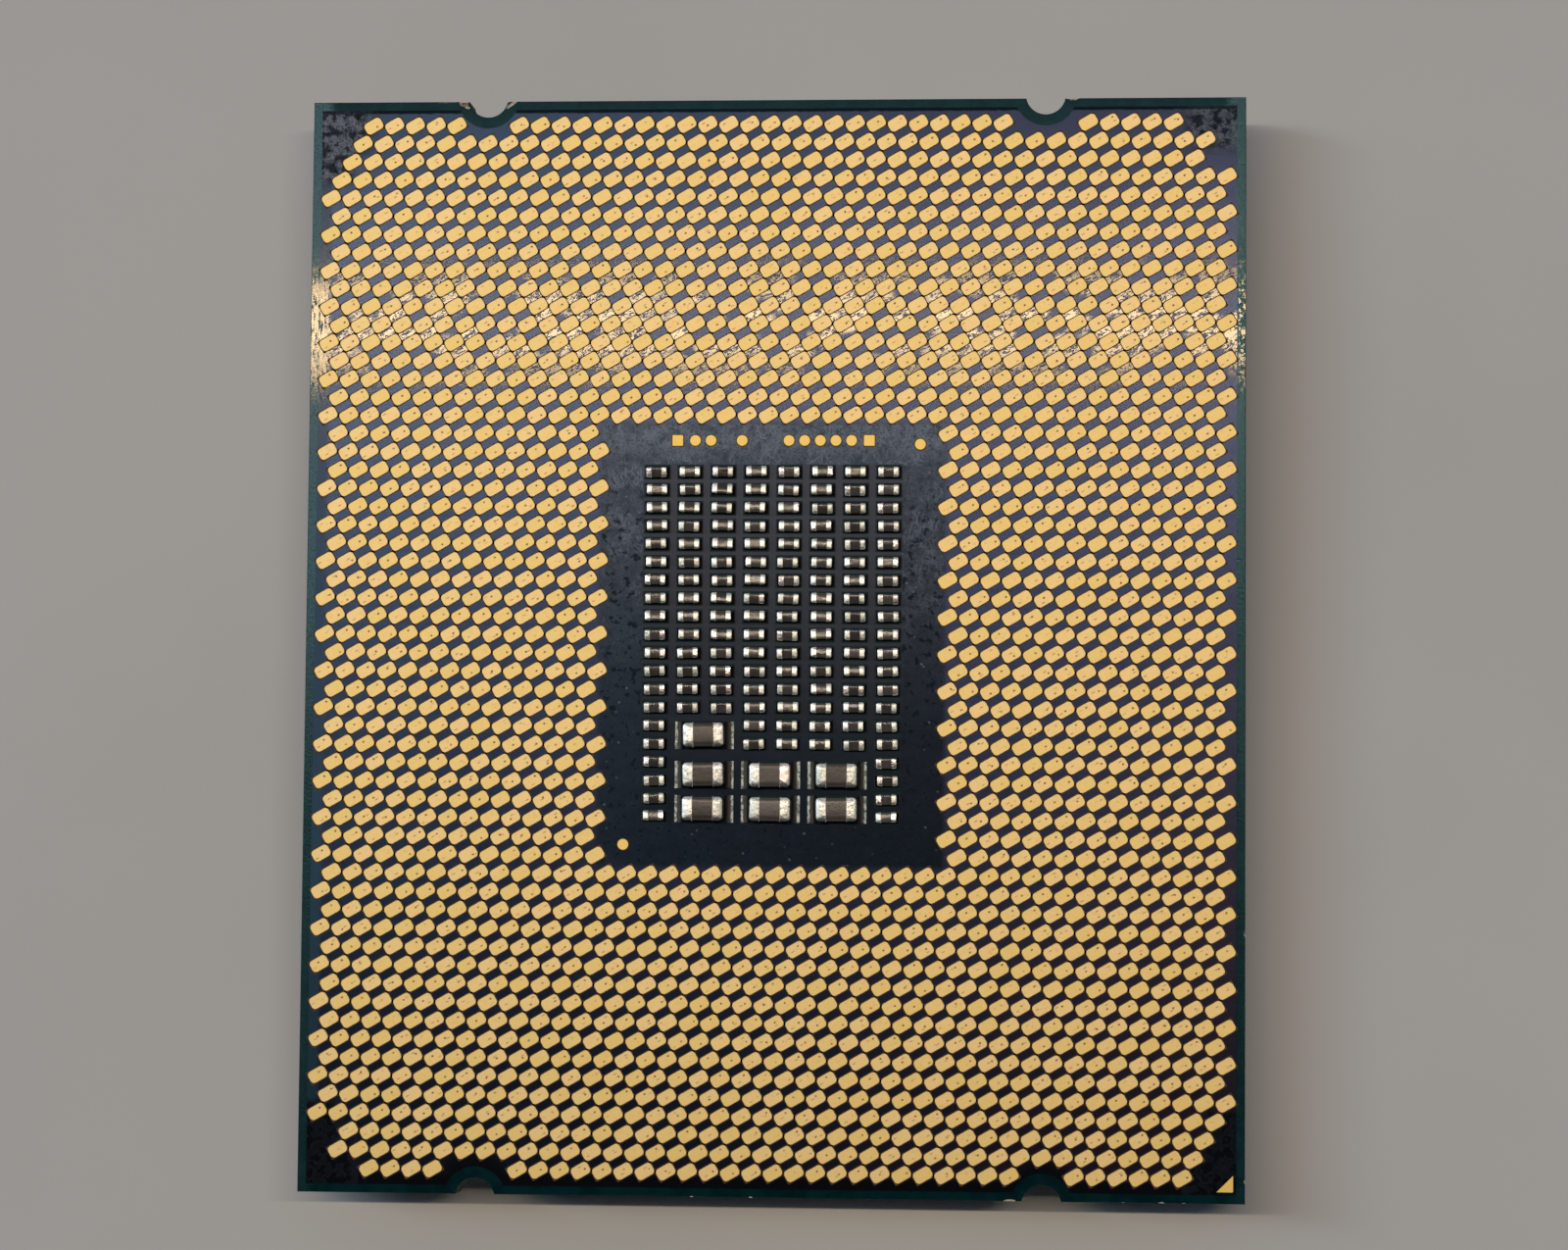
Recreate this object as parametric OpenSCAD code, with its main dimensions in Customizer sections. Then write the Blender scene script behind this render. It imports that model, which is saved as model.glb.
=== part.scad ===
// Land grid array processor package, lying on its heat spreader with the gold lands up.
// Millimetres. X runs across the package, Y along it and Z up.
// The origin is under the middle of the package, on the flat face of the heat spreader.

/* [Board] */
// Width of the board along X
board_w = 45; // [44.5:0.1:48]
// Length of the board along Y
board_l = 52.5; // [52:0.1:56]
// Thickness of the board
board_t = 1.9; // [1.1:0.05:2.4]
// Width of the bare border between the board's edge and the resist
border_w = 0.42; // [0.3:0.01:0.6]
// Thickness of the resist-covered copper plane
resist_t = 0.03; // [0.02:0.005:0.06]

/* [Key notches] */
// Radius of a key notch
notch_r = 0.95; // [0.6:0.05:1.1]
// Distance of a notch's centre outside the board's edge
notch_out = 0.18; // [0:0.02:0.4]
// Distance of the left notches from the middle of the board
notch_left = 13.97; // [10:0.01:18]
// Distance of the right notches from the middle of the board
notch_right = 12.954; // [10:0.001:18]
// Width of the bare border round a notch
notch_border = 0.55; // [0.3:0.05:0.8]

/* [Lands] */
// Distance between neighbouring lands
land_pitch = 1.016; // [1:0.002:1.1]
// Length of a land, between its round ends
land_l = 0.92; // [0.7:0.01:0.94]
// Width of a land, between its flat sides
land_w = 0.6; // [0.4:0.01:0.64]
// Thickness of a land
land_t = 0.03; // [0.02:0.005:0.06]
// Turn of every land from the X axis
land_turn = 30; // [0:1:60]
// Lands left out of each row across the middle window
window_columns = 16; // [16:2:20]
// Rows of the middle window
window_rows = 24; // [24:2:28]

/* [Gold marks] */
// Distance between the slots of the test pad row
pad_pitch = 0.75; // [0.6:0.01:0.8]
// Diameter of a round test pad
pad_d = 0.53; // [0.3:0.01:0.58]
// Side of a square test pad
pad_side = 0.53; // [0.3:0.01:0.58]
// Distance of the square test pads from the middle
square_pad_x = 4.6; // [4.4:0.05:5.5]
// Distance of the test pad row above the middle
pad_row_y = 9.77; // [9.4:0.01:10]
// Diameter of an alignment dot
dot_d = 0.53; // [0.3:0.01:0.6]
// Distance of the alignment dots from the middle along X
dot_x = 7.04; // [6.6:0.01:7.1]
// Distance of the alignment dots from the middle along Y
dot_y = 9.59; // [9.4:0.01:10]
// Length of the two short sides of a corner marker
marker_leg = 0.8; // [0.4:0.05:0.9]
// Distance of a corner marker from the board's edges
marker_inset = 0.55; // [0.5:0.01:0.8]

/* [Small capacitors] */
// Length of a small capacitor
small_l = 1; // [0.8:0.05:1.1]
// Width of a small capacitor
small_w = 0.5; // [0.4:0.01:0.56]
// Height of a small capacitor
small_h = 0.45; // [0.3:0.05:0.6]
// Length of an end terminal
small_end = 0.26; // [0.15:0.01:0.35]
// How far the terminals stand proud of the ceramic
small_plating = 0.015; // [0.01:0.005:0.03]
// Distance between columns of small capacitors
small_column_pitch = 1.588; // [1.56:0.002:1.66]
// Distance between rows of small capacitors
small_row_pitch = 0.868; // [0.84:0.002:0.9]
// Columns of small capacitors
small_columns = 8; // [4:2:8]
// Rows of small capacitors
small_rows = 20; // [12:2:20]
// Room between a small capacitor and the end of its opening in the resist
small_end_room = 0.13; // [0.08:0.01:0.18]
// Room between a small capacitor and the side of its opening in the resist
small_side_room = 0.1; // [0.05:0.01:0.12]
// How high the solder climbs a small capacitor's end
small_climb = 0.27; // [0.1:0.01:0.29]

/* [Large capacitors] */
// Length of a large capacitor
large_l = 2; // [1.6:0.05:2.2]
// Width of a large capacitor
large_w = 1.2; // [0.9:0.05:1.25]
// Height of a large capacitor
large_h = 0.85; // [0.5:0.05:1.2]
// Length of an end terminal
large_end = 0.52; // [0.3:0.02:0.6]
// Thickness of the plated end terminals
large_plating = 0.03; // [0.02:0.005:0.05]
// Room between a large capacitor and the end of its opening in the resist
large_end_room = 0.425; // [0.35:0.005:0.45]
// Room between a large capacitor and the side of its opening in the resist
large_side_room = 0.07; // [0.04:0.01:0.1]
// Distance of the single large capacitor below the middle
large_single_y = 4.37; // [4.1:0.01:4.5]
// Distance of the upper row of large capacitors below the middle
large_upper_y = 6.245; // [6.2:0.005:6.3]
// Distance of the lower row of large capacitors below the middle
large_lower_y = 7.873; // [7.84:0.001:8]
// Thickness of a tinned pad
tin_t = 0.05; // [0.04:0.005:0.08]
// Reach of the solder fillet on a large capacitor's end
large_fillet = 0.22; // [0.1:0.01:0.3]
// Thickness of the fillet's lips
solder_lip = 0.02; // [0.01:0.005:0.04]
// Gap between solder and the edge of the resist
solder_gap = 0.02; // [0.01:0.005:0.04]

/* [Die] */
// Width of the silicon die along X
die_w = 17.6; // [12:0.1:22]
// Length of the silicon die along Y
die_l = 20.2; // [12:0.1:28]
// Thickness of the silicon die
die_t = 0.78; // [0.5:0.01:0.85]
// Height of the bump layer under the die
bump_t = 0.08; // [0.05:0.01:0.12]
// Width of the underfill's sloping skirt round the die
skirt_w = 0.9; // [0.4:0.05:1.2]
// Height of the underfill's skirt up the side of the die
skirt_h = 0.45; // [0.2:0.05:0.5]
// Width of the flat lip at the top of the skirt
skirt_lip = 0.05; // [0.02:0.01:0.1]
// Thickness of the metal solder between die and heat spreader
die_solder_t = 0.25; // [0.1:0.01:0.3]
// How far that solder is pressed out past the die
die_solder_out = 0.3; // [0:0.05:0.6]

/* [Heat spreader] */
// Width of the flange along X
flange_w = 40.5; // [38:0.1:42]
// Length of the flange along Y
flange_l = 47; // [44:0.1:49]
// Corner radius of the flange
flange_r = 2; // [1:0.1:3]
// Chamfer on the flange's edge
flange_chamfer = 0.2; // [0.1:0.05:0.4]
// Width of the raised plateau along X
plateau_w = 36; // [34:0.1:37]
// Length of the raised plateau along Y
plateau_l = 37.5; // [34:0.1:42]
// Corner radius of the plateau
plateau_r = 3; // [1.5:0.1:5]
// Chamfer on the plateau's edge
plateau_chamfer = 0.3; // [0.1:0.05:0.5]
// Rise of the plateau above the flange
plateau_h = 1.6; // [1.2:0.05:1.7]
// Slope that joins the plateau's side to the flange
step_slope = 0.4; // [0.2:0.05:0.6]
// Overall height of the heat spreader
lid_h = 3; // [2.9:0.05:3.6]
// Width of the rim that is bonded to the board
rim_w = 5; // [4:0.1:6]
// Corner radius of the cavity
cavity_r = 2; // [1:0.1:4]
// Diameter of the vent hole
vent_d = 1; // [0.6:0.1:1.5]
// Distance of the vent hole from the cavity's walls
vent_inset = 2; // [1.5:0.1:2.5]
// Thickness of the adhesive seal
seal_t = 0.12; // [0.05:0.01:0.2]
// Distance of the seal from both edges of the rim
seal_inset = 0.5; // [0.2:0.1:1.2]

/* [Hidden] */
$fn = 48;
// Extra depth that carries a cut past a face
cut = 0.1;

// Heights of the layers, from the heat spreader's flat face up
lid_side_z = lid_h + seal_t;
land_side_z = lid_side_z + board_t;
resist_z = land_side_z + resist_t;

// Cavity of the heat spreader, just deep enough for the die and its two joints
cavity_w = flange_w - 2 * rim_w;
cavity_l = flange_l - 2 * rim_w;
cavity_depth = bump_t + die_t + die_solder_t - seal_t;

// Staggered grid: as many rows and columns as the resist field holds
row_pitch = land_pitch * sqrt(3) / 2;
stagger = land_pitch / 4;
field_w = board_w - 2 * border_w;
field_l = board_l - 2 * border_w;
land_columns = 1 + floor((field_w - land_l - 2 * stagger) / land_pitch);
land_rows = 1 + floor((field_l - land_l) / row_pitch);
window_w = window_columns * land_pitch;
window_l = window_rows * row_pitch;
// Lands missing at each end of the outermost rows, counted from the edge inwards
corner_missing = [2, 1, 1];
// Lands keep clear of the bare border round a notch
land_clear_r = notch_r + notch_border + land_l / 2;
notch_y = board_l / 2 + notch_out;
notch_centres = [for (x = [-notch_left, notch_right]) for (y = [-notch_y, notch_y]) [x, y]];

// Slots of the test pad row that hold a round pad
round_pad_slots = [-5, -4, -2, 1, 2, 3, 4, 5];

// Openings of the resist, and the places of the capacitors in them
small_open = [small_l + 2 * small_end_room, small_w + 2 * small_side_room];
large_open = [large_l + 2 * large_end_room, large_w + 2 * large_side_room];
large_column_pitch = 2 * small_column_pitch;
large_columns = [-large_column_pitch, 0, large_column_pitch];
large_places = concat(
    [[-large_column_pitch, -large_single_y]],
    [for (y = [large_upper_y, large_lower_y]) for (x = large_columns) [x, -y]]
);
small_places = [
    for (row = [0 : small_rows - 1]) for (column = [0 : small_columns - 1])
        let (place = [
            (column - (small_columns - 1) / 2) * small_column_pitch,
            ((small_rows - 1) / 2 - row) * small_row_pitch
        ])
        if (!meets_large(place)) place
];

// Where a large capacitor's opening reaches a small one's, the small one is left out
function meets_large(place) = len([
    for (large = large_places)
        if (abs(large.x - place.x) < (large_open.x + small_open.x) / 2
            && abs(large.y - place.y) < (large_open.y + small_open.y) / 2) large
]) > 0;

function land_place(row, column) = [
    (column - (land_columns - 1) / 2) * land_pitch + (row % 2 == 0 ? -stagger : stagger),
    ((land_rows - 1) / 2 - row) * row_pitch
];
function rows_from_edge(row) = min(row, land_rows - 1 - row);
function columns_from_edge(column) = min(column, land_columns - 1 - column);
function at_corner(row, column) =
    rows_from_edge(row) < len(corner_missing)
    && columns_from_edge(column) < corner_missing[rows_from_edge(row)];
function in_window(place) = abs(place.x) < window_w / 2 && abs(place.y) < window_l / 2;
function near_notch(place) = min([for (centre = notch_centres) norm(place - centre)]) < land_clear_r;
lands = [
    for (row = [0 : land_rows - 1]) for (column = [0 : land_columns - 1])
        let (place = land_place(row, column))
        if (!at_corner(row, column) && !in_window(place) && !near_notch(place)) place
];
function beside_window(place) = abs(place.y) < window_l / 2;

// Flat outline with round corners
module round_rect(w, l, r) {
    square([w - 2 * r, l], center = true);
    square([w, l - 2 * r], center = true);
    for (x = [-1, 1]) for (y = [-1, 1])
        translate([x * (w / 2 - r), y * (l / 2 - r)]) circle(r);
}

// Zone of height h in which a round-cornered outline draws in by c on every side
module taper(w, l, r, c, h) {
    rotate([90, 0, 0])
        linear_extrude(l - 2 * r, center = true)
            polygon([[-w / 2, 0], [w / 2, 0], [w / 2 - c, h], [c - w / 2, h]]);
    rotate([90, 0, 90])
        linear_extrude(w - 2 * r, center = true)
            polygon([[-l / 2, 0], [l / 2, 0], [l / 2 - c, h], [c - l / 2, h]]);
    for (x = [-1, 1]) for (y = [-1, 1])
        translate([x * (w / 2 - r), y * (l / 2 - r), 0]) cylinder(h, r, r - c);
}

// Slab with round corners, whose upper edge is chamfered
module slab(w, l, r, h, chamfer) {
    linear_extrude(h - chamfer) round_rect(w, l, r);
    translate([0, 0, h - chamfer]) taper(w, l, r, chamfer, chamfer);
}

// Outline of the board or of a layer on it, drawn in from the edges and from the notches
module board_outline(edge_inset, notch_inset) {
    difference() {
        square([board_w - 2 * edge_inset, board_l - 2 * edge_inset], center = true);
        for (centre = notch_centres) translate(centre) circle(notch_r + notch_inset);
    }
}

module base_board() {
    color("darkgreen")
        translate([0, 0, lid_side_z])
            linear_extrude(board_t) board_outline(0, 0);
}

module solder_resist() {
    color("midnightblue")
        translate([0, 0, land_side_z])
            difference() {
                linear_extrude(resist_t) board_outline(border_w, notch_border);
                translate([0, 0, -cut])
                    linear_extrude(resist_t + 2 * cut) {
                        for (place = small_places) translate(place) square(small_open, center = true);
                        for (place = large_places) translate(place) square(large_open, center = true);
                    }
            }
}

// Land: a disc with two flats, turned out of line with the rows
module land() {
    rotate(land_turn)
        linear_extrude(land_t)
            intersection() {
                circle(d = land_l);
                square([land_l, land_w], center = true);
            }
}

module land_group(places) {
    color("goldenrod")
        translate([0, 0, resist_z])
            for (place = places) translate(place) land();
}

module lands_north() { land_group([for (p = lands) if (!beside_window(p) && p.y > 0) p]); }
module lands_south() { land_group([for (p = lands) if (!beside_window(p) && p.y < 0) p]); }
module lands_west() { land_group([for (p = lands) if (beside_window(p) && p.x < 0) p]); }
module lands_east() { land_group([for (p = lands) if (beside_window(p) && p.x > 0) p]); }

module test_pads() {
    color("gold")
        translate([0, pad_row_y, resist_z]) {
            for (slot = round_pad_slots)
                translate([slot * pad_pitch, 0, 0]) cylinder(land_t, d = pad_d);
            for (side = [-1, 1])
                translate([side * square_pad_x, 0, 0])
                    linear_extrude(land_t) square(pad_side, center = true);
        }
}

module alignment_dots() {
    color("gold")
        for (side = [-1, 1])
            translate([side * dot_x, side * dot_y, resist_z]) cylinder(land_t, d = dot_d);
}

// One marker on each face, at the same corner of the board
module corner_markers() {
    marker_corner = [board_w / 2 - marker_inset, marker_inset - board_l / 2];
    color("gold")
        for (z = [resist_z, lid_side_z - land_t])
            translate([marker_corner.x, marker_corner.y, z])
                linear_extrude(land_t) polygon([[0, 0], [0, marker_leg], [-marker_leg, 0]]);
}

module small_capacitor_bodies() {
    body = [small_l - 2 * small_end, small_w - 2 * small_plating, small_h - 2 * small_plating];
    color("dimgray")
        for (place = small_places)
            translate([place.x, place.y, land_side_z + small_h / 2]) cube(body, center = true);
}

module small_capacitor_terminals() {
    color("lightgray")
        for (place = small_places) for (side = [-1, 1])
            translate([place.x + side * (small_l - small_end) / 2, place.y, land_side_z + small_h / 2])
                cube([small_end, small_w, small_h], center = true);
}

// Wedge of solder against a terminal's end face
module solder_wedge(reach, climb, width) {
    rotate([90, 0, 0])
        linear_extrude(width, center = true) polygon([[0, 0], [reach, 0], [0, climb]]);
}

// Solder that climbs a terminal's end face in a hollow curve, with a blunt lip at both ends
module solder_fillet(reach, lip, width) {
    rotate([90, 0, 0])
        linear_extrude(width, center = true)
            difference() {
                square(reach);
                translate([reach, reach]) circle(reach - lip);
            }
}

module small_capacitor_solder() {
    color("silver")
        for (place = small_places) for (side = [0, 1])
            translate([place.x, place.y, land_side_z])
                rotate(180 * side)
                    translate([small_l / 2, 0, 0])
                        solder_wedge(small_end_room - solder_gap, small_climb, small_w);
}

module large_capacitor_bodies() {
    color("dimgray")
        for (place = large_places)
            translate([place.x, place.y, land_side_z + large_h / 2])
                cube([for (side = [large_l, large_w, large_h]) side - 2 * large_plating], center = true);
}

// Plated cap over each end of the ceramic
module large_capacitor_terminals() {
    core = [large_l, large_w - 2 * large_plating, large_h - 2 * large_plating];
    color("lightgray")
        for (place = large_places) for (side = [-1, 1])
            translate([place.x, place.y, land_side_z + large_h / 2])
                difference() {
                    translate([side * (large_l - large_end) / 2, 0, 0])
                        cube([large_end, large_w, large_h], center = true);
                    translate([-side * large_plating, 0, 0]) cube(core, center = true);
                }
}

module large_capacitor_solder() {
    tin = [large_end_room - solder_gap, large_open.y - 2 * solder_gap, tin_t];
    color("silver")
        for (place = large_places) for (side = [0, 1])
            translate([place.x, place.y, land_side_z])
                rotate(180 * side)
                    translate([large_l / 2, 0, 0]) {
                        translate([0, -tin.y / 2, 0]) cube(tin);
                        translate([0, 0, tin_t]) solder_fillet(large_fillet, solder_lip, large_w);
                    }
}

module silicon_die() {
    color("slategray")
        translate([0, 0, lid_side_z - bump_t - die_t / 2])
            cube([die_w, die_l, die_t], center = true);
}

// Layer that fills the bump gap and climbs the sides of the die
module die_underfill() {
    skirt = skirt_w + skirt_lip;
    color("saddlebrown")
        difference() {
            translate([0, 0, lid_side_z])
                mirror([0, 0, 1]) {
                    linear_extrude(bump_t) round_rect(die_w + 2 * skirt, die_l + 2 * skirt, skirt);
                    translate([0, 0, bump_t])
                        taper(die_w + 2 * skirt, die_l + 2 * skirt, skirt, skirt_w, skirt_h);
                }
            translate([0, 0, lid_side_z - bump_t - die_t / 2])
                cube([die_w, die_l, die_t], center = true);
        }
}

module die_solder() {
    out = 2 * die_solder_out;
    color("gainsboro")
        translate([0, 0, lid_h - cavity_depth + die_solder_t / 2])
            cube([die_w + out, die_l + out, die_solder_t], center = true);
}

module lid_adhesive() {
    color("black")
        translate([0, 0, lid_h])
            linear_extrude(seal_t)
                difference() {
                    round_rect(flange_w - 2 * seal_inset, flange_l - 2 * seal_inset, flange_r);
                    round_rect(cavity_w + 2 * seal_inset, cavity_l + 2 * seal_inset, cavity_r);
                }
}

// Lid with its plateau down: chamfered plateau, sloped step, ledge, bonded rim, cavity and vent
module heat_spreader() {
    step_z = lid_h - plateau_h;
    vent = [cavity_w / 2 - vent_inset, cavity_l / 2 - vent_inset];
    color("silver")
        difference() {
            translate([0, 0, lid_h])
                mirror([0, 0, 1]) {
                    slab(flange_w, flange_l, flange_r, step_z, flange_chamfer);
                    slab(plateau_w, plateau_l, plateau_r, lid_h, plateau_chamfer);
                    translate([0, 0, step_z])
                        taper(plateau_w + 2 * step_slope, plateau_l + 2 * step_slope,
                              plateau_r + step_slope, step_slope, step_slope);
                }
            translate([0, 0, lid_h - cavity_depth])
                linear_extrude(cavity_depth + cut) round_rect(cavity_w, cavity_l, cavity_r);
            translate([-vent.x, vent.y, -cut]) cylinder(lid_h, d = vent_d);
        }
}

base_board();
solder_resist();
lands_north();
lands_south();
lands_west();
lands_east();
test_pads();
alignment_dots();
corner_markers();
small_capacitor_bodies();
small_capacitor_terminals();
small_capacitor_solder();
large_capacitor_bodies();
large_capacitor_terminals();
large_capacitor_solder();
silicon_die();
die_underfill();
die_solder();
lid_adhesive();
heat_spreader();
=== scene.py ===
import math
import random

import bmesh
import bpy
from mathutils import Euler, Matrix, Vector


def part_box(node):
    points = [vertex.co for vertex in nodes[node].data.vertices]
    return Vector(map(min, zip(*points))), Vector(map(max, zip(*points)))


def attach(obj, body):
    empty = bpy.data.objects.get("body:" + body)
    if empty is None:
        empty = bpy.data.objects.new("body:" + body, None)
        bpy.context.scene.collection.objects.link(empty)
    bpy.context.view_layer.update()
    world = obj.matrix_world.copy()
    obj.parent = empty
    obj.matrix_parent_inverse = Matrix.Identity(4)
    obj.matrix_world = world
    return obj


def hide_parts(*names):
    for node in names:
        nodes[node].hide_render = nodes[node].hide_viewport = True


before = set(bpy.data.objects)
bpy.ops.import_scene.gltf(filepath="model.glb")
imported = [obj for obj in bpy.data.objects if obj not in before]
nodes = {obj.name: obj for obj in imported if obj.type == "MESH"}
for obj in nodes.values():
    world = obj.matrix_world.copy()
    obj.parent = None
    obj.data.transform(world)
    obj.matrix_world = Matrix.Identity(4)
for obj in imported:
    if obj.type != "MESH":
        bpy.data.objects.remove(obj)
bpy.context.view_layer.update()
mm = 0.001  # the frame is in metres, the sizes below are in millimetres
mergeStep = 0.0001 * mm
seedRange = (0, 100)  # for the random number that each repeated shape keeps
print("frame loaded,", len(nodes), "nodes")


# A wire is one output of a material's tree, and sums on it add Math nodes
class Wire:
    def __init__(self, finish, socket):
        self.finish = finish
        self.socket = socket

    def math(self, operation, first, second=0.0):
        return self.finish.node("ShaderNodeMath", {"operation": operation}, {0: first, 1: second})

    def __add__(self, other):
        return self.math("ADD", self, other)

    def __radd__(self, other):
        return self.math("ADD", other, self)

    def __sub__(self, other):
        return self.math("SUBTRACT", self, other)

    def __rsub__(self, other):
        return self.math("SUBTRACT", other, self)

    def __mul__(self, other):
        return self.math("MULTIPLY", self, other)

    def __rmul__(self, other):
        return self.math("MULTIPLY", other, self)

    def __abs__(self):
        return self.math("ABSOLUTE", self)

    def most(self, other):
        return self.math("MAXIMUM", self, other)

    def sine(self):
        return self.math("SINE", self)

    def floor(self):
        return self.math("FLOOR", self)


# The node tree of a material or of the world
class Finish:
    def __init__(self, owner):
        owner.use_nodes = True
        self.owner = owner
        self.tree = owner.node_tree
        self.tree.nodes.clear()

    # Any node: its type, its settings first, then the values or wires of its sockets
    def node(self, kind, settings=None, sockets=None, out=0):
        made = self.tree.nodes.new(kind)
        for key, value in (settings or {}).items():
            setattr(made, key, value)
        for key, value in (sockets or {}).items():
            if isinstance(value, Wire):
                self.tree.links.new(value.socket, made.inputs[key])
            else:
                made.inputs[key].default_value = value
        return Wire(self, made.outputs[out]) if made.outputs else None

    # Object coordinates in millimetres
    def place(self):
        metres = self.node("ShaderNodeTexCoord", out="Object")
        return self.node("ShaderNodeVectorMath", {"operation": "SCALE"}, {0: metres, "Scale": 1 / mm})

    def axes(self, vector):
        first = self.node("ShaderNodeSeparateXYZ", None, {"Vector": vector})
        return [Wire(self, socket) for socket in first.socket.node.outputs]

    def turned(self, vector, degrees, stretch):
        turn = (0.0, 0.0, math.radians(degrees))
        sockets = {"Vector": vector, "Rotation": turn, "Scale": stretch}
        return self.node("ShaderNodeMapping", None, sockets)

    def noise(self, vector, scale, detail=2.0, roughness=0.5, distortion=0.0):
        sockets = {"Vector": vector, "Scale": scale, "Detail": detail}
        sockets.update({"Roughness": roughness, "Distortion": distortion})
        return self.node("ShaderNodeTexNoise", None, sockets)

    def specks(self, vector, scale):
        return self.node("ShaderNodeTexVoronoi", None, {"Vector": vector, "Scale": scale})

    # From 0 at low to 1 at high, with soft ends
    def rise(self, value, low, high):
        sockets = {"Value": value, "From Min": low, "From Max": high}
        return self.node("ShaderNodeMapRange", {"interpolation_type": "SMOOTHSTEP"}, sockets)

    # Patches of a noise
    def patches(self, vector, pattern, span):
        return self.rise(self.noise(vector, *pattern), *span)

    def blend(self, factor, first, second):
        return self.node("ShaderNodeMix", {"data_type": "RGBA"}, {0: factor, 6: first, 7: second}, 2)

    # Thin curly lines
    def hair(self, vector, scale, width, detail=4.0, distortion=0.8):
        wavy = self.noise(vector, scale, detail, 0.6, distortion)
        return 1 - self.rise(abs(wavy - 0.5), 0.0, width)

    # Curly lines of two kinds, each with its turn, stretch, scale and width
    def hairs(self, vector, kinds):
        first, second = [self.hair(self.turned(vector, *kind[:2]), *kind[2:]) for kind in kinds]
        return first.most(second)

    # Soft oval spot round a place on a pair of axes
    def spot(self, u, v, awayU, awayV, halfU, halfV):
        du = (u - awayU) * (1 / halfU)
        dv = (v - awayV) * (1 / halfV)
        return 1 - self.rise(du * du + dv * dv, 0.35, 1.3)

    # Three random numbers that belong to one number
    def scatter(self, number):
        settings = {"noise_dimensions": "1D"}
        return self.axes(self.node("ShaderNodeTexWhiteNoise", settings, {"W": number}, "Color"))

    def attribute(self, name):
        return self.node("ShaderNodeAttribute", {"attribute_name": name}, None, "Fac")

    def bump(self, height, depth):
        return self.node("ShaderNodeBump", None, {"Height": height, "Distance": depth * mm})

    # 1 inside a rectangle round the middle, fading out beyond it
    def inside(self, x, y, halves, fade):
        acrossX = 1 - self.rise(abs(x), halves[0], halves[0] + fade)
        acrossY = 1 - self.rise(abs(y), halves[1], halves[1] + fade)
        return acrossX * acrossY

    def shader(self, sockets):
        return self.node("ShaderNodeBsdfPrincipled", None, sockets)

    def over(self, factor, under, upper):
        return self.node("ShaderNodeMixShader", None, {0: factor, 1: under, 2: upper})

    def close(self, shader):
        self.node("ShaderNodeOutputMaterial", None, {"Surface": shader})
        return self.owner

    def surface(self, sockets):
        return self.close(self.shader(sockets))


def newFinish(name):
    return Finish(bpy.data.materials.new(name))


def rgb(red, green, blue):
    return (red, green, blue, 1.0)


# A share from 0 to 1 as a value from low to high
def level(share, low, high):
    return low + (high - low) * share


def meshFrom(name, bm):
    mesh = bpy.data.meshes.new(name)
    bm.to_mesh(mesh)
    bm.free()
    return mesh


def placed(name, data):
    thing = bpy.data.objects.new(name, data)
    bpy.context.scene.collection.objects.link(thing)
    return thing


# Camera, at the photograph's viewing angle
cameraView = {
    "lens": 96.5,
    "sensor": 36.0,
    "nearest": 5.0,
    "place": (15.784, -12.373, 204.689),
    "turn": (3.835, 4.3225, 0.484),
}


def makeCamera():
    data = bpy.data.cameras.new("camera")
    data.lens = cameraView["lens"]
    data.sensor_width = cameraView["sensor"]
    data.clip_start = cameraView["nearest"] * mm
    camera = placed("camera", data)
    camera.location = Vector(cameraView["place"]) * mm
    camera.rotation_euler = [math.radians(angle) for angle in cameraView["turn"]]
    bpy.context.scene.camera = camera


# Light: a long tube overhead, a soft panel on the left and a dim cool room, in metres
light = {
    "tubeSize": (1.6, 0.031),
    "tubeReach": 1.6,
    "tubeTilt": 8.45,
    "tubePower": 9.0,
    "tubeColour": (1.0, 0.79, 0.59),
    "panelSize": (0.24, 0.9),
    "panelPlace": (-1.1, 0.27, 1.3),
    "panelPower": 4.5,
    "panelColour": (0.84, 0.93, 1.0),
    "roomNear": rgb(0.012, 0.012, 0.014),
    "roomFar": rgb(0.13, 0.17, 0.27),
    "roomTurn": (-0.15, 0.6),
    "backdrop": rgb(0.33, 0.33, 0.32),
    "mirrored": rgb(0.56, 0.55, 0.52),
    "backdropTop": (0.60, 0.86),
}


def areaLamp(name, place):
    data = bpy.data.lights.new(name, "AREA")
    data.shape = "RECTANGLE"
    data.size, data.size_y = light[name + "Size"]
    data.energy = light[name + "Power"]
    data.color = light[name + "Colour"]
    lamp = placed(name, data)
    lamp.location = place
    lamp.rotation_euler = (-Vector(place)).to_track_quat("-Z", "Y").to_euler()


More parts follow.
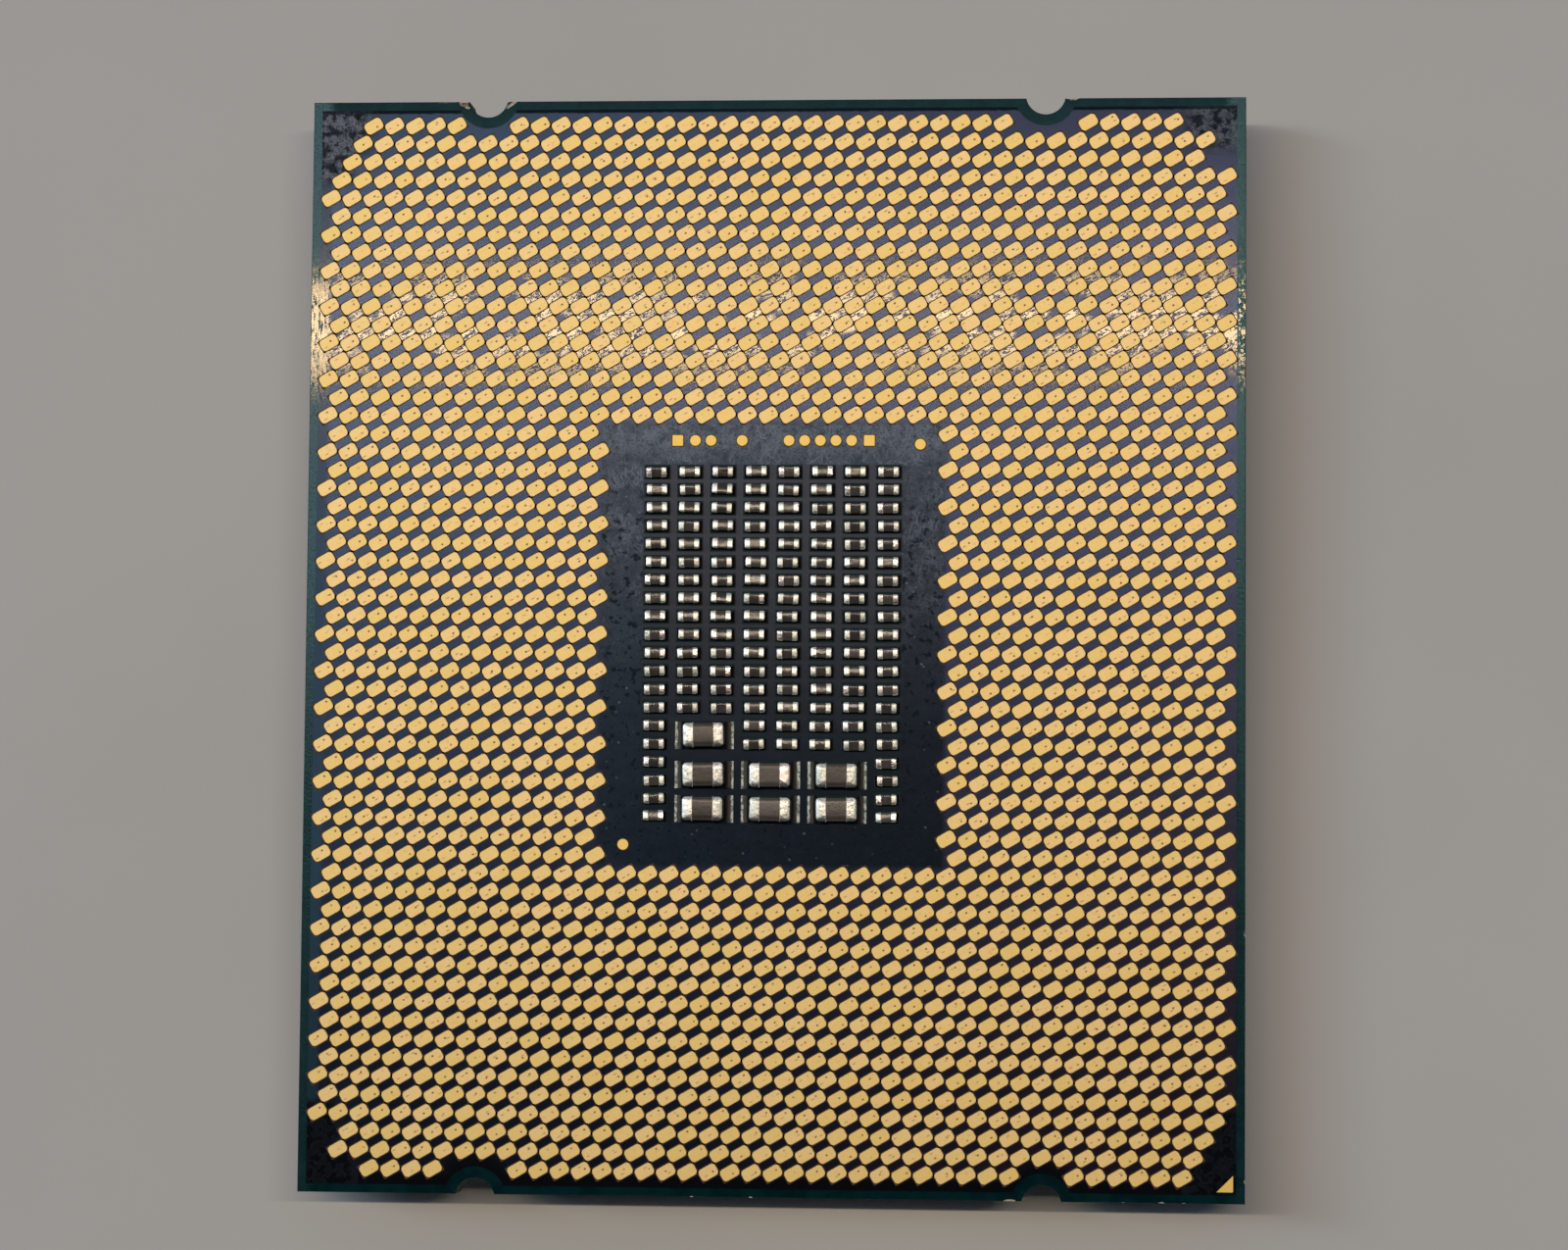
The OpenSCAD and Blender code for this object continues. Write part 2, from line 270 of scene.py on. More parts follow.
def makeLight():
    tilt = math.radians(light["tubeTilt"])
    areaLamp("tube", Vector((0, math.sin(tilt), math.cos(tilt))) * light["tubeReach"])
    areaLamp("panel", light["panelPlace"])
    world = bpy.data.worlds.new("room")
    room = Finish(world)
    y, z = room.axes(room.node("ShaderNodeTexCoord", None, None, "Generated"))[1:]
    colour = room.blend(room.rise(y, *light["roomTurn"]), light["roomNear"], light["roomFar"])
    # The camera and the metals see a pale backdrop low down, which lights nothing
    ray = room.node("ShaderNodeLightPath", None, None, "Is Camera Ray")
    glossy = Wire(room, ray.socket.node.outputs["Is Glossy Ray"])
    low = 1 - room.rise(z, *light["backdropTop"])
    colour = room.blend(ray * low, colour, light["backdrop"])
    colour = room.blend(glossy * low, colour, light["mirrored"])
    shade = room.node("ShaderNodeBackground", None, {"Color": colour})
    room.node("ShaderNodeOutputWorld", None, {"Surface": shade})
    bpy.context.scene.world = world
    bpy.context.scene.view_settings.view_transform = "Standard"
    print("light set")


# In these dictionaries a pattern of a noise is its scale per millimetre, detail, roughness and
# distortion, and a range is where a mask begins and where it is full
floorLook = {
    "size": 1600.0,
    "drop": 0.01,
    "colour": rgb(0.712, 0.740, 0.733),
    "shade": rgb(0.678, 0.705, 0.698),
    "cloud": (0.03, 3.0),
    "cloudRange": (0.35, 0.65),
    "grain": (3.0, 3.0),
    "grainDepth": 0.004,
    "rough": (0.55, 0.65),
    "sheen": 0.15,
}


def makeFloor():
    look = floorLook
    finish = newFinish("deskGrey")
    place = finish.place()
    cloud = finish.patches(place, look["cloud"], look["cloudRange"])
    grain = finish.noise(place, *look["grain"])
    material = finish.surface({
        "Base Color": finish.blend(cloud, look["shade"], look["colour"]),
        "Roughness": level(grain, *look["rough"]), "Specular IOR Level": look["sheen"],
        "Normal": finish.bump(grain, look["grainDepth"])})
    bm = bmesh.new()
    bmesh.ops.create_grid(bm, x_segments=8, y_segments=8, size=look["size"] * mm / 2)
    bmesh.ops.translate(bm, vec=(0, 0, -look["drop"] * mm), verts=bm.verts)
    floor = placed("floor", meshFrom("floor", bm))
    floor.data.materials.append(material)
    print("floor set")


# Copy of a CAD node's mesh with its loose triangles joined
def mergedCopy(nodeName):
    bm = bmesh.new()
    bm.from_mesh(nodes[nodeName].data)
    bmesh.ops.remove_doubles(bm, verts=bm.verts, dist=mergeStep)
    return bm


# The same with flat faces made whole again
def plainCopy(nodeName):
    bm = mergedCopy(nodeName)
    bmesh.ops.dissolve_limit(bm, angle_limit=math.radians(1), verts=bm.verts, edges=bm.edges)
    return bm


# Places and sizes come from the separate solids of a CAD node
def solidsOf(nodeName):
    bm = mergedCopy(nodeName)
    boxes = []
    seen = set()
    for first in bm.verts:
        if first in seen:
            continue
        seen.add(first)
        group = [first]
        for vert in group:
            for edge in vert.link_edges:
                other = edge.other_vert(vert)
                if other not in seen:
                    seen.add(other)
                    group.append(other)
        low = Vector([min(vert.co[axis] for vert in group) for axis in range(3)])
        high = Vector([max(vert.co[axis] for vert in group) for axis in range(3)])
        boxes.append((low, high))
    bm.free()
    boxes.sort(key=lambda box: (round(-box[0].y / mm, 2), round(box[0].x / mm, 2)))
    return boxes


def middle(box):
    return (box[0] + box[1]) / 2


# One shape at many places, with a random number of its own in the attribute seed
def repeated(bm, matrices, seeds):
    stamp = meshFrom("stamp", bm)
    stamp.attributes.new("seed", "FLOAT", "POINT")
    count = len(stamp.vertices)
    whole = bmesh.new()
    for matrix, seed in zip(matrices, seeds):
        copy = stamp.copy()
        copy.transform(matrix)
        copy.attributes["seed"].data.foreach_set("value", [seed] * count)
        whole.from_mesh(copy)
        bpy.data.meshes.remove(copy)
    bpy.data.meshes.remove(stamp)
    return whole


def addTo(whole, bm, matrix):
    bmesh.ops.transform(bm, matrix=matrix, verts=bm.verts)
    stamp = meshFrom("stamp", bm)
    whole.from_mesh(stamp)
    bpy.data.meshes.remove(stamp)


shading = {
    "sharp": 35,
    "flatFrom": 3.0,
    "levelFrom": 0.99999,
}


# Smooth shading with sharp folds; level and long faces are flat, and a CAD mesh's own normals go
def shadeMesh(mesh):
    if "custom_normal" in mesh.attributes:
        mesh.attributes.remove(mesh.attributes["custom_normal"])
    mesh.set_sharp_from_angle(angle=math.radians(shading["sharp"]))  # this also makes each face smooth
    for polygon in mesh.polygons:
        corners = [mesh.vertices[index].co for index in polygon.vertices]
        longest = max((a - b).length for a, b in zip(corners, corners[1:] + corners[:1]))
        isLevel = abs(polygon.normal.z) >= shading["levelFrom"]
        polygon.use_smooth = not isLevel and longest < shading["flatFrom"] * mm


def makePiece(name, bm, material, slotName, *replaced):
    mesh = meshFrom(name, bm)
    shadeMesh(mesh)
    piece = placed(name, mesh)
    piece.data.materials.append(material)
    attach(piece, "root")
    if replaced:
        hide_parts(*replaced)
    print(name, len(mesh.polygons), "faces")


def bevelled(bm, picked, offset, segments, affect="EDGES"):
    bmesh.ops.bevel(bm, geom=picked, affect=affect, offset=offset, segments=segments,
                    profile=0.5, material=-1)


def spanOf(edge, axis):
    return abs(edge.verts[0].co[axis] - edge.verts[1].co[axis])


def raised(bm, height):
    made = bmesh.ops.extrude_face_region(bm, geom=bm.faces[:])
    top = [item for item in made["geom"] if isinstance(item, bmesh.types.BMVert)]
    bmesh.ops.translate(bm, vec=(0, 0, height), verts=top)
    bmesh.ops.recalc_face_normals(bm, faces=bm.faces)


# Narrow chamfer round the upper face of a plate
def softenTop(bm, height, edge):
    upper = [e for e in bm.edges if min(vert.co.z for vert in e.verts) > height / 2]
    rim = [e for e in upper if e.calc_face_angle(0) > math.radians(shading["sharp"])]
    bevelled(bm, rim, edge, 1)


# Flat plate with round corners and a softened upper edge, in metres
def roundPlate(width, length, radius, height, edge, cornerSteps=3):
    bm = bmesh.new()
    bmesh.ops.create_grid(bm, x_segments=1, y_segments=1, size=0.5)
    bmesh.ops.scale(bm, vec=(width, length, 1), verts=bm.verts)
    bevelled(bm, bm.verts[:], radius, cornerSteps, "VERTICES")
    raised(bm, height)
    if edge:
        softenTop(bm, height, edge)
    return bm


def cuboid(size):
    bm = bmesh.new()
    bmesh.ops.create_cube(bm, size=1)
    bmesh.ops.scale(bm, vec=size, verts=bm.verts)
    return bm


# Gold lands
landLook = {
    "size": (0.90, 0.60),
    "corner": 0.185,
    "turn": 30.0,
    "edge": 0.012,
    "bedMargin": 0.04,
    "bedCorner": 0.04,
    "bedHeight": 0.006,
    "seed": 11,
    "gold": rgb(0.635, 0.508, 0.20),
    "paleGold": rgb(0.665, 0.532, 0.268),
    "paleShares": (0.25, 0.25, 0.50),
    "paleRange": (0.36, 0.64),
    "brushed": (2.0, 9.0, 1.0),
    "patchy": (5.0, 3.0, 0.6),
    "blush": rgb(0.72, 0.45, 0.20),
    "blushPattern": (3.4, 2.0),
    "blushRange": (0.56, 0.68),
    "blushShare": 0.35,
    "grain": (22.0, 3.0, 0.6),
    "grainDepth": 0.0015,
    "rough": (0.425, 0.525),
    # Wear: sizes and scatter of the dot and of the dash on each land, and how many lands have them
    "mark": rgb(0.16, 0.085, 0.03),
    "markShare": 0.85,
    "markRough": 0.15,
    "markDepth": 0.8,
    "dotSize": (0.062, 0.050),
    "dotAway": 0.12,
    "dotSpread": 0.30,
    "dotRange": (0.15, 0.45),
    "dashSize": (0.10, 0.026),
    "dashSpread": (0.6, 0.34),
    "dashRange": (0.30, 0.8),
    "dashShare": 0.7,
    "dashSeed": 3.7,
    "bedDark": rgb(0.050, 0.026, 0.011),
    "bedLight": rgb(0.150, 0.080, 0.034),
    "bedMottle": (6.0, 3.0),
    "bedRough": (0.5, 0.7),
    "bedSheen": 0.2,
}


def landFinish():
    look = landLook
    finish = newFinish("landGold")
    place = finish.place()
    grain = finish.noise(place, *look["grain"])
    u, v = finish.axes(finish.node("ShaderNodeUVMap", {"uv_map": "landMap"}))[:2]
    seed = finish.attribute("seed")
    tone, away, aside = finish.scatter(seed)
    tone2, away2, aside2 = finish.scatter(seed + look["dashSeed"])
    # A dot that the socket's contact left, and a faint drawn dash
    dot = finish.spot(u, v, look["dotAway"] + (away - 0.5) * look["dotSpread"],
                      (aside - 0.5) * look["dotSpread"], *look["dotSize"])
    dash = finish.spot(u, v, (away2 - 0.5) * look["dashSpread"][0],
                       (aside2 - 0.5) * look["dashSpread"][1], *look["dashSize"])
    dash = dash * finish.rise(tone2, *look["dashRange"]) * look["dashShare"]
    wear = (dot * finish.rise(tone, *look["dotRange"])).most(dash)
    brushed = finish.noise(finish.turned(place, -look["turn"], look["brushed"]), 1.0, 3.0)
    patchy = finish.noise(place, *look["patchy"])
    ownShare, brushedShare, patchyShare = look["paleShares"]
    pale = ownShare * tone2 + brushedShare * brushed + patchyShare * patchy
    colour = finish.blend(finish.rise(pale, *look["paleRange"]), look["gold"], look["paleGold"])
    blush = finish.patches(place, look["blushPattern"], look["blushRange"])
    colour = finish.blend(look["blushShare"] * blush, colour, look["blush"])
    colour = finish.blend(wear * look["markShare"], colour, look["mark"])
    return finish.surface({
        "Base Color": colour, "Metallic": 1.0,
        "Roughness": level(grain, *look["rough"]) + look["markRough"] * wear,
        "Normal": finish.bump(grain - look["markDepth"] * wear, look["grainDepth"])})


def makeLands():
    look = landLook
    bedTop = look["bedHeight"] * mm
    material = landFinish()
    rng = random.Random(look["seed"])
    turn = Matrix.Rotation(math.radians(look["turn"]), 4, "Z")
    allMatrices = []
    for side in ("north", "south", "west", "east"):
        nodeName = "lands_" + side
        boxes = solidsOf(nodeName)
        top = boxes[0][1].z
        base = boxes[0][0].z
        bm = roundPlate(look["size"][0] * mm, look["size"][1] * mm, look["corner"] * mm,
                        top - base - bedTop, look["edge"] * mm)
        layer = bm.loops.layers.uv.new("landMap")
        for face in bm.faces:
            for loop in face.loops:
                loop[layer].uv = loop.vert.co.xy / mm
        centres = [middle(box) for box in boxes]
        matrices = [Matrix.Translation((c.x, c.y, base + bedTop)) @ turn for c in centres]
        allMatrices += [Matrix.Translation((c.x, c.y, base)) @ turn for c in centres]
        seeds = [rng.uniform(*seedRange) for c in centres]
        whole = repeated(bm, matrices, seeds)
        makePiece("lands" + side.capitalize(), whole, material, "gold", nodeName)
    makeLandBeds(allMatrices, bedTop, rng)


# Dark laminate that shows in a thin line round each land
def makeLandBeds(matrices, height, rng):
    look = landLook
    finish = newFinish("landBed")
    mottle = finish.noise(finish.place(), *look["bedMottle"])
    material = finish.surface({
        "Base Color": finish.blend(mottle, look["bedDark"], look["bedLight"]),
        "Roughness": level(mottle, *look["bedRough"]), "Specular IOR Level": look["bedSheen"]})
    margin = 2 * look["bedMargin"]
    bm = roundPlate((look["size"][0] + margin) * mm, (look["size"][1] + margin) * mm,
                    look["bedCorner"] * mm, height, 0, 1)
    whole = repeated(bm, matrices, [rng.uniform(*seedRange) for matrix in matrices])
    makePiece("landBeds", whole, material, "resist")


# Smooth film mirrors the tube in a warm tone: crumpled gaps between the lands, and the borders
gapLook = {
    "roughness": 0.065,
    "sheen": 0.32,
    "tint": rgb(1.0, 0.91, 0.69),
    "halo": 0.8,
    "haloRough": 0.22,
    "haloIor": 1.27,
}
polishLook = {
    "roughness": 0.095,
    "sheen": 0.50,
    "tint": rgb(1.0, 0.90, 0.66),
    "halo": 0.0,
    "haloRough": 0.22,
    "haloIor": 1.27,
    "stretch": (7.5, 1.2, 1.0),
    "lines": (1.0, 3.0, 0.65, 0.3),
    "lineRange": (0.43, 0.48),
    "lineShare": (0.06, 1.0),
    "ragged": (7.0, 3.0, 0.65),
    "raggedReach": 3.0,
    "middle": 15.0,
    "fade": (1.6, 3.6),
}


def clearFilm(finish, look, colour):
    return finish.shader({
        "Base Color": colour, "Roughness": look["roughness"], "Specular IOR Level": look["sheen"],
        "Specular Tint": look["tint"], "Coat Weight": look["halo"],
        "Coat Roughness": look["haloRough"], "Coat IOR": look["haloIor"]})


# A length of the borders that is polished, with ragged ends, and the upright lines drawn in it
def polish(finish, place, y):
    look = polishLook
    lines = finish.patches(finish.turned(place, 0, look["stretch"]), look["lines"], look["lineRange"])
    ragged = finish.noise(place, *look["ragged"])
    away = abs(y - look["middle"]) + look["raggedReach"] * (ragged - 0.5)
    polished = 1 - finish.rise(away, *look["fade"])
    return polished, lines * level(polished, *look["lineShare"])


# Solder resist over the land side: the film between the lands
resistLook = {
    "navy": rgb(0.0022, 0.0022, 0.0034),
    # Painted blue sheen towards the far left, painted warm bounce light towards the near right
    "paintedBlueSheen": rgb(0.004, 0.043, 0.068),
    "paintedBlueSheenRange": (0.0, 1.0),
    "paintedWarmBounce": rgb(0.020, 0.004, 0.001),
    "paintedWarmBounceRange": (-1.0, -0.2),
    "lean": (-0.030, 0.020),
    "leanWave": 0.3,
    "wave": (0.9, 2.0),
    "waveDepth": 0.006,
    "leftBand": (-21.75, -21.45),
    "teal": rgb(0.004, 0.044, 0.054),
    "sheenTint": rgb(0.30, 0.44, 1.0),
    "sheen": 0.56,
    "rough": (0.215, 0.255),
    "marginRough": 0.10,
    "farRough": 0.09,
    "farRange": (19.0, 27.0),
    "coat": 0.2,
    "coatRough": 0.12,
    "coatIor": 1.31,
    # Crumpled gaps
    "pitch": 1.016,
    "rowStep": 101,  # more than the gaps in a row, so that each gap has its own number
    "group": (0.42, 2.0),
    "gapShare": 0.5,
    "groupShare": 1.5,
    "crumpleRange": (0.16, 0.31),
    "glintBand": (11.6, 13.4, 17.6, 19.2),
    "streakStretch": (2.2, 5.0, 1.0),
    "streak": (1.0, 3.0, 0.65, 0.5),
    "streakRange": (0.41, 0.46),
    "wrinkleStretch": (2.0, 3.8, 1.0),
    "wrinkle": (1.0, 0.055, 2.0, 0.6),
    "creaseShare": 0.6,
}


# Painted sheen makes the film bluer towards the far left, and painted warm bounce light browner towards
# the near right
def gapFilm(finish, place, x, y, wave, lean, ripple):
    look = resistLook
    colour = finish.blend(finish.rise(lean, *look["paintedBlueSheenRange"]), look["navy"], look["paintedBlueSheen"])
    colour = finish.blend(1 - finish.rise(lean, *look["paintedWarmBounceRange"]), colour, look["paintedWarmBounce"])
    # The left margin is drawn in fine upright lines like the border beside it
    margin = 1 - finish.rise(x, *look["leftBand"])
    colour = finish.blend(margin, colour, look["teal"])
    # Gaps between four lands: each is crumpled to its own degree, in groups, and catches the tube
    up = y * (2 / math.sqrt(3) / look["pitch"]) - 0.5  # counted in rows
    along = x * (1 / look["pitch"]) + 0.25 - 0.5 * up  # counted in lands
    ownGap = finish.scatter(along.floor() + look["rowStep"] * up.floor())[0]
    group = finish.noise(place, *look["group"])
    crumple = look["gapShare"] * ownGap + look["groupShare"] * (group - 0.5)
    crumple = finish.rise(crumple, *look["crumpleRange"])
    slanted = finish.turned(place, -landLook["turn"], (1.0, 1.0, 1.0))
    stretched = finish.turned(slanted, 0, look["streakStretch"])
    streak = finish.patches(stretched, look["streak"], look["streakRange"])
    wrinkle = finish.hair(finish.turned(slanted, 0, look["wrinkleStretch"]), *look["wrinkle"])
    nearFrom, nearTo, farFrom, farTo = look["glintBand"]
    inBand = finish.rise(y, nearFrom, nearTo) * (1 - finish.rise(y, farFrom, farTo))
    glint = crumple * streak * (1 - wrinkle) * inBand * (1 - margin)
    # Creases in the crumpled gaps take the darker worn film: painted shade
    crease = crumple * wrinkle * inBand * (1 - margin)
    rough = level(wave, *look["rough"]) + look["marginRough"] * margin
    rough = rough + look["farRough"] * finish.rise(y, *look["farRange"])
    dim = finish.shader({
        "Base Color": colour, "Roughness": rough, "Specular IOR Level": look["sheen"],
        "Specular Tint": look["sheenTint"], "Coat Weight": look["coat"],
        "Coat Roughness": look["coatRough"], "Coat IOR": look["coatIor"], "Normal": ripple})
    film = finish.over(glint, dim, clearFilm(finish, gapLook, colour))
    lines = polish(finish, place, y)[1]
    return finish.over(lines * margin, film, clearFilm(finish, polishLook, colour)), crease


# Worn film in the window, at the corners and along the edges: haze, scratches, stains and dust, with
# painted sheen and painted shade
wornLook = {
    # Where it lies: half sizes round the middle, then ranges along x and y
    "window": (8.1, 10.45),
    "windowFade": 0.35,
    "capacitors": (6.1, 8.5),
    "capacitorFade": 0.25,
    "cornerX": (19.0, 20.2),
    "cornerY": (23.2, 24.2),
    "farLeftX": (-20.8, -20.2),
    "farLeftY": (21.9, 22.6),
    "nearX": (20.2, 20.9),
    "nearY": (-22.2, -21.4),
    "tint": rgb(0.45, 0.62, 1.0),
    "sheen": 0.17,
    # The window film runs from dark to pale, paler by painted sheen
    "dark": rgb(0.003, 0.008, 0.013),
    "pale": rgb(0.016, 0.031, 0.052),
    "between": rgb(0.050, 0.050, 0.058),
    "betweenRange": (-8.0, 6.0),
    "betweenClear": 0.6,
    "mottle": (1.6, 5.0, 0.65),
    "fine": (4.5, 4.0, 0.7),
    "paintedSheenMottle": 0.6,
    "lightenedRange": (-0.40, 0.45),
    "rough": 0.22,
    "hazeRough": 0.10,
    "stainRough": 0.45,
    # Haze: shares along the window's far edge, in the window and at the corners
    "haze": rgb(0.31, 0.36, 0.43),
    "hazeRange": (0.26, 0.56),
    "hairs": ((20, (1.0, 0.7, 1.0), 2.2, 0.045), (-40, (0.7, 1.0, 1.0), 3.6, 0.06)),
    "grains": (13.0, 3.0, 0.7),
    "grainRange": (0.46, 0.60),
    "grainShare": (0.12, 0.82),
    "edgeHaze": 0.50,
    "edgeHazeRange": (8.6, 9.9),
    "windowHaze": 0.30,
    "windowHazeRange": (-4.0, 9.0),
    "cornerHaze": 0.75,
    "cornerHazeRange": (5.0, 20.0),
    "rightClear": 0.35,
    "rightRange": (0.0, 10.0),
    # Scratches and dust, whose kinds have a scale, an uneven outline and a range
    "scratches": ((0, (1.0, 1.0, 1.0), 1.1, 0.032), (50, (1.0, 0.6, 1.0), 2.1, 0.045)),
    "scratchRange": (0.40, 0.56),
    "scratchFrom": (-4.0, 9.5),
    "scratchShare": 0.6,
    "patchDust": (1.5, 0.14, (0.10, 0.17)),
    "patchRange": (0.44, 0.54),
    "loneDust": (1.25, 0.05, (0.085, 0.125)),
    "dustShare": (0.34, 0.54),
    "dustRange": (-9.0, 9.0),
    # Stains, and painted shade along the edges and towards the near side
    "stainAndShade": (2.2, 4.0, 0.6),
    "stainRange": (0.47, 0.58),
    "stainCover": 0.8,
    "spots": (2.8, 3.0, 0.6),
    "spotRange": (0.55, 0.63),
    "spotShare": 0.8,
    "spotEnd": (5.0, 9.0),
    "paintedEdgeShadow": (0.21, 0.12),
    "edgeRagged": 0.16,
    "paintedShadeBlack": rgb(0.0012, 0.0011, 0.0013),
    "nearEdge": (-25.45, -24.95),
    "nearRagged": 0.3,
    "nearSide": (-5.0, 15.0),
    "notches": (-13.97, 12.954),
    "notchY": -26.2,
    "notchReach": 2.3,
    "darkRange": (-25.0, -9.0),
    "darkShare": 0.45,
    "cornerClear": 0.5,
}


# Specks with an uneven outline
def dustOf(finish, place, fine, scale, uneven, span):
    return 1 - finish.rise(finish.specks(place, scale) + uneven * fine, *span)


def wornFilm(finish, place, x, y, wave, lean, ripple):
    look = wornLook
    window = finish.inside(x, y, look["window"], look["windowFade"])
    amongCaps = finish.inside(x, y, look["capacitors"], look["capacitorFade"])
    bare = window * (1 - amongCaps)
    corner = finish.rise(abs(x), *look["cornerX"]) * finish.rise(abs(y), *look["cornerY"])
    corner = corner.most((1 - finish.rise(x, *look["farLeftX"])) * finish.rise(y, *look["farLeftY"]))
    corner = corner.most(finish.rise(abs(x), *look["nearX"]) * (1 - finish.rise(y, *look["nearY"])))
    mottle = finish.noise(place, *look["mottle"])
    fine = finish.noise(place, *look["fine"])
    # Haze of rubbed grains and curly hair lines
    grains = finish.patches(place, look["grains"], look["grainRange"])
    hairs = finish.hairs(place, look["hairs"])
    hazy = finish.rise(mottle, *look["hazeRange"]) * level(grains, *look["grainShare"]).most(hairs)
    haze = look["edgeHaze"] * hazy * bare * finish.rise(y, *look["edgeHazeRange"])
    haze = haze + look["windowHaze"] * hazy * bare * finish.rise(y, *look["windowHazeRange"])
    clearer = 1 - look["rightClear"] * finish.rise(x, *look["rightRange"])
    haze = haze + look["cornerHaze"] * hazy * corner * finish.rise(y, *look["cornerHazeRange"]) * clearer
    scratch = finish.hairs(place, look["scratches"]) * finish.rise(wave, *look["scratchRange"])
    scratch = scratch * bare * finish.rise(y, *look["scratchFrom"])
    dust = dustOf(finish, place, fine, *look["patchDust"]) * finish.rise(mottle, *look["patchRange"])
    dust = dust.most(dustOf(finish, place, fine, *look["loneDust"])) * bare.most(corner)
    dust = level(finish.rise(y, *look["dustRange"]), *look["dustShare"]) * dust
    pale = haze.most(look["scratchShare"] * scratch).most(dust)
    # Stains at the corners, a ragged painted shadow line along the far edge, black spots beside the
    # capacitors
    stainAndShade = corner * finish.patches(place, look["stainAndShade"], look["stainRange"])
    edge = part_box("solder_resist")[1].y / mm
    edgeFrom, edgeTo = look["paintedEdgeShadow"]
    paintedEdgeShadow = finish.rise(y + look["edgeRagged"] * (fine - 0.5), edge - edgeFrom, edge - edgeTo)
    spots = finish.patches(place, look["spots"], look["spotRange"])
    spots = look["spotShare"] * spots * bare * (1 - finish.rise(y, *look["spotEnd"]))
    stainAndShade = stainAndShade.most(paintedEdgeShadow).most(spots)
    # Painted sheen: the window film is paler and bluer towards the far left, by the slant, broken up in
    # mottle
    lightened = finish.rise(lean + look["paintedSheenMottle"] * (mottle - 0.5), *look["lightenedRange"])
    lightened = lightened * window * (1 - look["betweenClear"] * amongCaps)
    colour = finish.blend(lightened, look["dark"], look["pale"])
    # Painted sheen: among the capacitors the film is paler towards the far side
    paintedSheenAmongCapsMask = amongCaps * finish.rise(y, *look["betweenRange"])
    colour = finish.blend(paintedSheenAmongCapsMask, colour, look["between"])
    colour = finish.blend(stainAndShade, colour, look["dark"])
    # Painted shade: along the near edge and round its notches the film is painted black, and so are the
    # corners in the near half
    nearEdge = 1 - finish.rise(y + look["nearRagged"] * (fine - 0.5), *look["nearEdge"])
    for notchX in look["notches"]:
        reach = look["notchReach"]
        nearEdge = nearEdge.most(finish.spot(x, y, notchX, look["notchY"], reach, reach))
    nearSide = 1 - finish.rise(y, *look["nearSide"])
    colour = finish.blend(corner.most(nearEdge) * nearSide, colour, look["paintedShadeBlack"])
    colour = finish.blend(pale * (1 - look["stainCover"] * stainAndShade), colour, look["haze"])
    # Painted shade: outside the window the film darkens towards the near edge
    paintedLowerShade = (1 - window) * (1 - finish.rise(y, *look["darkRange"]))
    colour = finish.blend(paintedLowerShade * (1 - look["cornerClear"] * corner), colour, look["paintedShadeBlack"])
    film = finish.shader({
        "Base Color": colour,
        "Roughness": look["rough"] + look["hazeRough"] * haze + look["stainRough"] * stainAndShade,
        "Specular IOR Level": look["sheen"], "Specular Tint": look["tint"], "Normal": ripple})
    share = window.most(corner).most(paintedEdgeShadow).most(nearEdge).most(look["darkShare"] * paintedLowerShade)
    return film, share


def resistFinish():
    look = resistLook
    finish = newFinish("resist")
    place = finish.place()
    x, y = finish.axes(place)[:2]
    wave = finish.noise(place, *look["wave"])
    # Slant of the painted sheen and painted warm bounce light across the film
    lean = x * look["lean"][0] + y * look["lean"][1] + look["leanWave"] * (wave - 0.5)
    ripple = finish.bump(wave, look["waveDepth"])
    film, crease = gapFilm(finish, place, x, y, wave, lean, ripple)
    worn, share = wornFilm(finish, place, x, y, wave, lean, ripple)
    return finish.close(finish.over(share.most(look["creaseShare"] * crease), film, worn))


